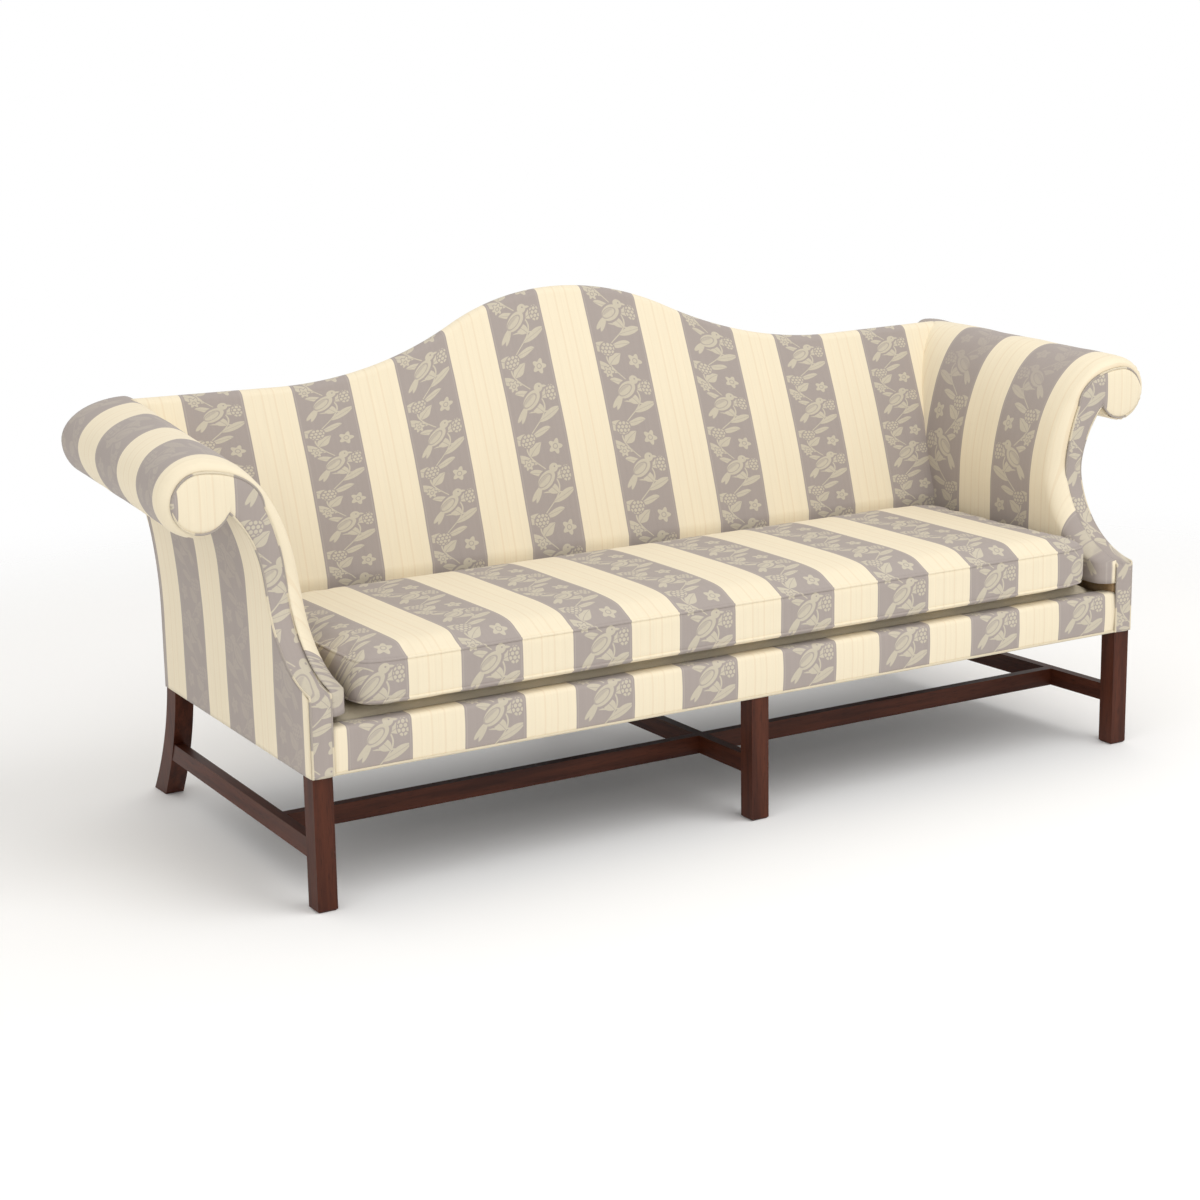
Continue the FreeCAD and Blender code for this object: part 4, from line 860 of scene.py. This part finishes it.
# a cream welt round the lower edge of the covers, from corner to corner of its plan
lowerWelt = {
    "radius": 2.7, "height": 244.5,
    "plan": ((-926.0, 0.0), (926.0, 0.0), (930.0, 4.0), (903.5, 720.0),
             (899.5, 724.5), (-899.5, 724.5), (-903.5, 720.0), (-930.0, 4.0)),
}
corners = np.array(lowerWelt["plan"])
lowerPath = np.concatenate([np.linspace(corners[i], corners[(i + 1) % 8], 60, endpoint=False)
                            for i in range(8)])
lowerPath = np.concatenate([lowerPath, np.full((len(lowerPath), 1), lowerWelt["height"])], 1)
dress(tubeMesh("lower_welt", lowerPath, lowerWelt["radius"], closed=True), material=creamWelt)
print("arms and back made")


deckPad = {"halfWide": 868.0, "middle": 356.0, "halfDeep": 321.0, "low": 325.0, "thick": 22.0}


def deckGrid():
    """The padded deck under the cushion: a low crown with rounded edges."""
    across, along = np.meshgrid(np.linspace(-1, 1, 60), np.linspace(-1, 1, 30))
    edge = (1 - across ** 12) * (1 - along ** 12)
    z = deckPad["low"] + deckPad["thick"] * np.clip(edge, 0, 1) ** 0.3
    return np.stack([across * deckPad["halfWide"],
                     deckPad["middle"] + along * deckPad["halfDeep"], z], -1)


grid = deckGrid()
deck = sheetMesh("deck_pad", grid, grid[..., :2] / 1000)
dress(deck, "seat_deck", slot="deck_cloth", material=deckCloth)

shell = cushionShell()
rows, columns = shell.shape[:2]
faces = gridFaces(rows, columns, closed=True)
first, last = np.arange(columns), (rows - 1) * columns + np.arange(columns)
seat = meshOf("seat_pad", metres(shell).reshape(-1, 3), faces, np.zeros((faces.size, 2)))


def closeEnds(piece, rings):
    """Fills the small holes at the middle of the top and of the base."""
    shape = bmesh.new()
    shape.from_mesh(piece.data)
    shape.verts.ensure_lookup_table()
    for ring in rings:
        shape.faces.new([shape.verts[i] for i in ring])
    bmesh.ops.recalc_face_normals(shape, faces=shape.faces)
    shape.to_mesh(piece.data)
    shape.free()


closeEnds(seat, (first.tolist(), last[::-1].tolist()))


def inflate(piece, settings):
    """Cloth under pressure from inside, with every point's way from its start limited."""
    remesh = piece.modifiers.new("even", "REMESH")
    remesh.mode, remesh.voxel_size = "VOXEL", settings["voxel"]
    bpy.context.view_layer.objects.active = piece
    piece.select_set(True)
    bpy.ops.object.modifier_apply(modifier="even")
    before = np.empty(len(piece.data.vertices) * 3, np.float32)
    piece.data.vertices.foreach_get("co", before)
    soft = piece.modifiers.new("cloth", "CLOTH")
    soft.settings.use_pressure = True
    soft.settings.uniform_pressure_force = settings["pressure"]
    soft.settings.effector_weights.gravity = 0
    soft.settings.tension_stiffness = soft.settings.compression_stiffness = settings["stiff"]
    soft.settings.bending_stiffness = settings["bending"]
    soft.point_cache.frame_end = settings["frames"]
    for number in range(1, settings["frames"] + 1):
        bpy.context.scene.frame_set(number)
    solved = piece.evaluated_get(bpy.context.evaluated_depsgraph_get())
    after = np.empty_like(before)
    solved.data.vertices.foreach_get("co", after)
    piece.modifiers.remove(soft)
    bpy.context.scene.frame_set(1)
    before, after = before.reshape(-1, 3), after.reshape(-1, 3)
    move = after - before
    size = np.linalg.norm(move, axis=1, keepdims=True)
    move *= np.minimum(1, settings["cap"] / np.maximum(size, 1e-9))
    placed = before + move
    placed[:, 2] = np.maximum(placed[:, 2], (settings["low"] + 0.3) / 1000)
    limit = (settings["halfWide"] - 0.5) / 1000
    placed[:, 0] = np.clip(placed[:, 0], -limit, limit)
    piece.data.vertices.foreach_set("co", placed.astype(np.float32).ravel())
    piece.data.update()
    finer = piece.modifiers.new("finer", "SUBSURF")
    finer.levels = finer.render_levels = 1
    bpy.ops.object.modifier_apply(modifier="finer")


inflate(seat, cushion)
print("cushion simulated")


def clothOnCushion(piece):
    """u runs along the sofa; v runs over the top and on down the front and the back."""
    spots = np.empty(len(piece.data.vertices) * 3, np.float32)
    piece.data.vertices.foreach_get("co", spots)
    spots = spots.reshape(-1, 3)
    corner = np.empty(len(piece.data.loops), np.int32)
    piece.data.loops.foreach_get("vertex_index", corner)
    middle = (cushion["nose"] + cushion["rear"]) / 2000 - sofa["frameDepth"] / 1000
    seam = (cushion["low"] + cushion["seam"]) / 1000
    drop = np.clip(spots[:, 2] - seam, -1, 0) * np.sign(middle - spots[:, 1])
    uv = np.stack([spots[:, 0], spots[:, 1] + drop], 1)
    while piece.data.uv_layers:
        piece.data.uv_layers.remove(piece.data.uv_layers[0])
    layer = piece.data.uv_layers.new(name="cloth")
    layer.data.foreach_set("uv", uv[corner].astype(np.float32).ravel())
    piece.data.polygons.foreach_set("use_smooth", np.ones(len(piece.data.polygons), bool))


clothOnCushion(seat)
dress(seat, "seat_cushion", body="loose_cushion")


def seamRound(piece, up):
    """The cushion's outline at a height: where rays towards its middle line meet it."""
    tree = BVHTree.FromPolygons([v.co.copy() for v in piece.data.vertices],
                                [tuple(p.vertices) for p in piece.data.polygons])
    turn = np.linspace(0, 2 * np.pi, 360, endpoint=False)
    wide, deep = cushion["halfWide"] / 1000, (cushion["rear"] - cushion["nose"]) / 2000
    middle = (cushion["rear"] + cushion["nose"]) / 2000 - sofa["frameDepth"] / 1000
    power = 2 / cushion["weltCorner"]
    x = wide * np.sign(np.cos(turn)) * np.abs(np.cos(turn)) ** power
    y = deep * np.sign(np.sin(turn)) * np.abs(np.sin(turn)) ** power
    spots = []
    for dx, dy in zip(x, y):
        start = Vector((dx * 1.1, middle + dy * 1.25, up / 1000))
        aim = Vector((dx * 0.8, middle + dy * 0.3, up / 1000))
        hit = tree.ray_cast(start, (aim - start).normalized())[0]
        spots.append(hit if hit is not None else Vector((dx, middle + dy, up / 1000)))
    path = np.array(spots) * 1000
    path[:, 1] += sofa["frameDepth"]
    for _ in range(3):
        path = (np.roll(path, 1, 0) + 2 * path + np.roll(path, -1, 0)) / 4
    return path


for word, up in (("upper", cushion["low"] + cushion["seam"] + cushion["upperWelt"]),
                 ("lower", cushion["low"] + cushion["lowerWelt"])):
    welt = tubeMesh("cushion_welt_" + word, seamRound(seat, up), cushion["welt"], closed=True)
    clothOnCushion(welt)
    dress(welt, body="loose_cushion")
print("cushion made")


# camera, lights and floor

view = {"yaw": 31.170, "pitch": 13.193, "roll": 0.938,
        "place": (-2.6454, -3.7931, 1.5185), "lens": 75.87}


def makeCamera():
    yaw, pitch, roll = (math.radians(view[k]) for k in ("yaw", "pitch", "roll"))
    ahead = np.array([math.sin(yaw) * math.cos(pitch), math.cos(yaw) * math.cos(pitch),
                      -math.sin(pitch)])
    level = np.array([math.cos(yaw), -math.sin(yaw), 0.0])
    down = np.cross(ahead, level)
    right = math.cos(roll) * level + math.sin(roll) * down
    down = -math.sin(roll) * level + math.cos(roll) * down
    lens = bpy.data.cameras.new("camera")
    lens.sensor_fit, lens.sensor_width, lens.lens = "HORIZONTAL", 36.0, view["lens"]
    lens.clip_start, lens.clip_end = 0.05, 100
    made = bpy.data.objects.new("camera", lens)
    place = np.array(view["place"]) - [0, sofa["frameDepth"] / 1000, 0]
    made.matrix_world = Matrix([[right[i], -down[i], -ahead[i], place[i]] for i in range(3)]
                               + [[0, 0, 0, 1]])
    bpy.context.scene.collection.objects.link(made)
    bpy.context.scene.camera = made


makeCamera()


light = {
    "sky": 0.84, "skyColour": (1, 0.985, 0.96, 1), "aim": (0, 0, 0.4),
    "key": {"place": (1.2, -2.6, 4.2), "size": 3.0, "power": 80},
    "fill": {"place": (-3.6, -2.4, 2.2), "size": 3.0, "power": 18},
}

ground = {"reach": 15.0, "down": 0.0005, "fadeFrom": 1.8, "fadeTo": 3.2}     # metres
corners = [(x * ground["reach"], y * ground["reach"], -ground["down"])
           for x, y in ((-1, -1), (1, -1), (1, 1), (-1, 1))]
floor = meshOf("floor", np.array(corners), np.array([[0, 1, 2, 3]]))
floorMaker = Maker("paleFloor")
floorMaker.shade({"Base Color": (0.97, 0.97, 0.97, 1), "Roughness": 0.9})
# the floor ends softly in the white surroundings
reach = floorMaker.node("ShaderNodeVectorMath", {"operation": "LENGTH"}, {
    0: floorMaker.node("ShaderNodeTexCoord", output="Object")}, "Value")
clear = floorMaker.node("ShaderNodeBsdfTransparent")
faded = floorMaker.node("ShaderNodeMixShader", None, {
    0: floorMaker.step(reach, ground["fadeFrom"], ground["fadeTo"]),
    1: Wired(floorMaker, floorMaker.shader.outputs[0]), 2: clear})
floorMaker.fill(floorMaker.tree.nodes["Material Output"], {0: faded})
floor.data.materials.append(floorMaker.material)

world = bpy.data.worlds.new("studio")
world.use_nodes = True
sky = world.node_tree
path = sky.nodes.new("ShaderNodeLightPath")
white = sky.nodes.new("ShaderNodeBackground")
white.inputs["Color"].default_value = (1, 1, 1, 1)
glow = sky.nodes["Background"]
glow.inputs["Color"].default_value = light["skyColour"]
glow.inputs["Strength"].default_value = light["sky"]
seen = sky.nodes.new("ShaderNodeMath")
seen.operation = "MAXIMUM"
sky.links.new(path.outputs["Is Camera Ray"], seen.inputs[0])
sky.links.new(path.outputs["Is Transmission Ray"], seen.inputs[1])
either = sky.nodes.new("ShaderNodeMixShader")
sky.links.new(seen.outputs[0], either.inputs[0])
sky.links.new(glow.outputs[0], either.inputs[1])
sky.links.new(white.outputs[0], either.inputs[2])
sky.links.new(either.outputs[0], sky.nodes["World Output"].inputs["Surface"])
bpy.context.scene.world = world


def areaLamp(name, place, aim, size, power):
    lamp = bpy.data.lights.new(name, "AREA")
    lamp.size, lamp.energy = size, power
    made = bpy.data.objects.new(name, lamp)
    ahead = np.array(aim, float) - np.array(place, float)
    ahead /= np.linalg.norm(ahead)
    right = np.cross(ahead, [0, 0, 1])
    right /= np.linalg.norm(right)
    over = np.cross(right, ahead)
    made.matrix_world = Matrix([[right[i], over[i], -ahead[i], place[i]] for i in range(3)]
                               + [[0, 0, 0, 1]])
    bpy.context.scene.collection.objects.link(made)


for name in ("key", "fill"):
    lamp = light[name]
    areaLamp(name, lamp["place"], light["aim"], lamp["size"], lamp["power"])

bpy.context.scene.view_settings.view_transform = "Standard"

print("scene ready")
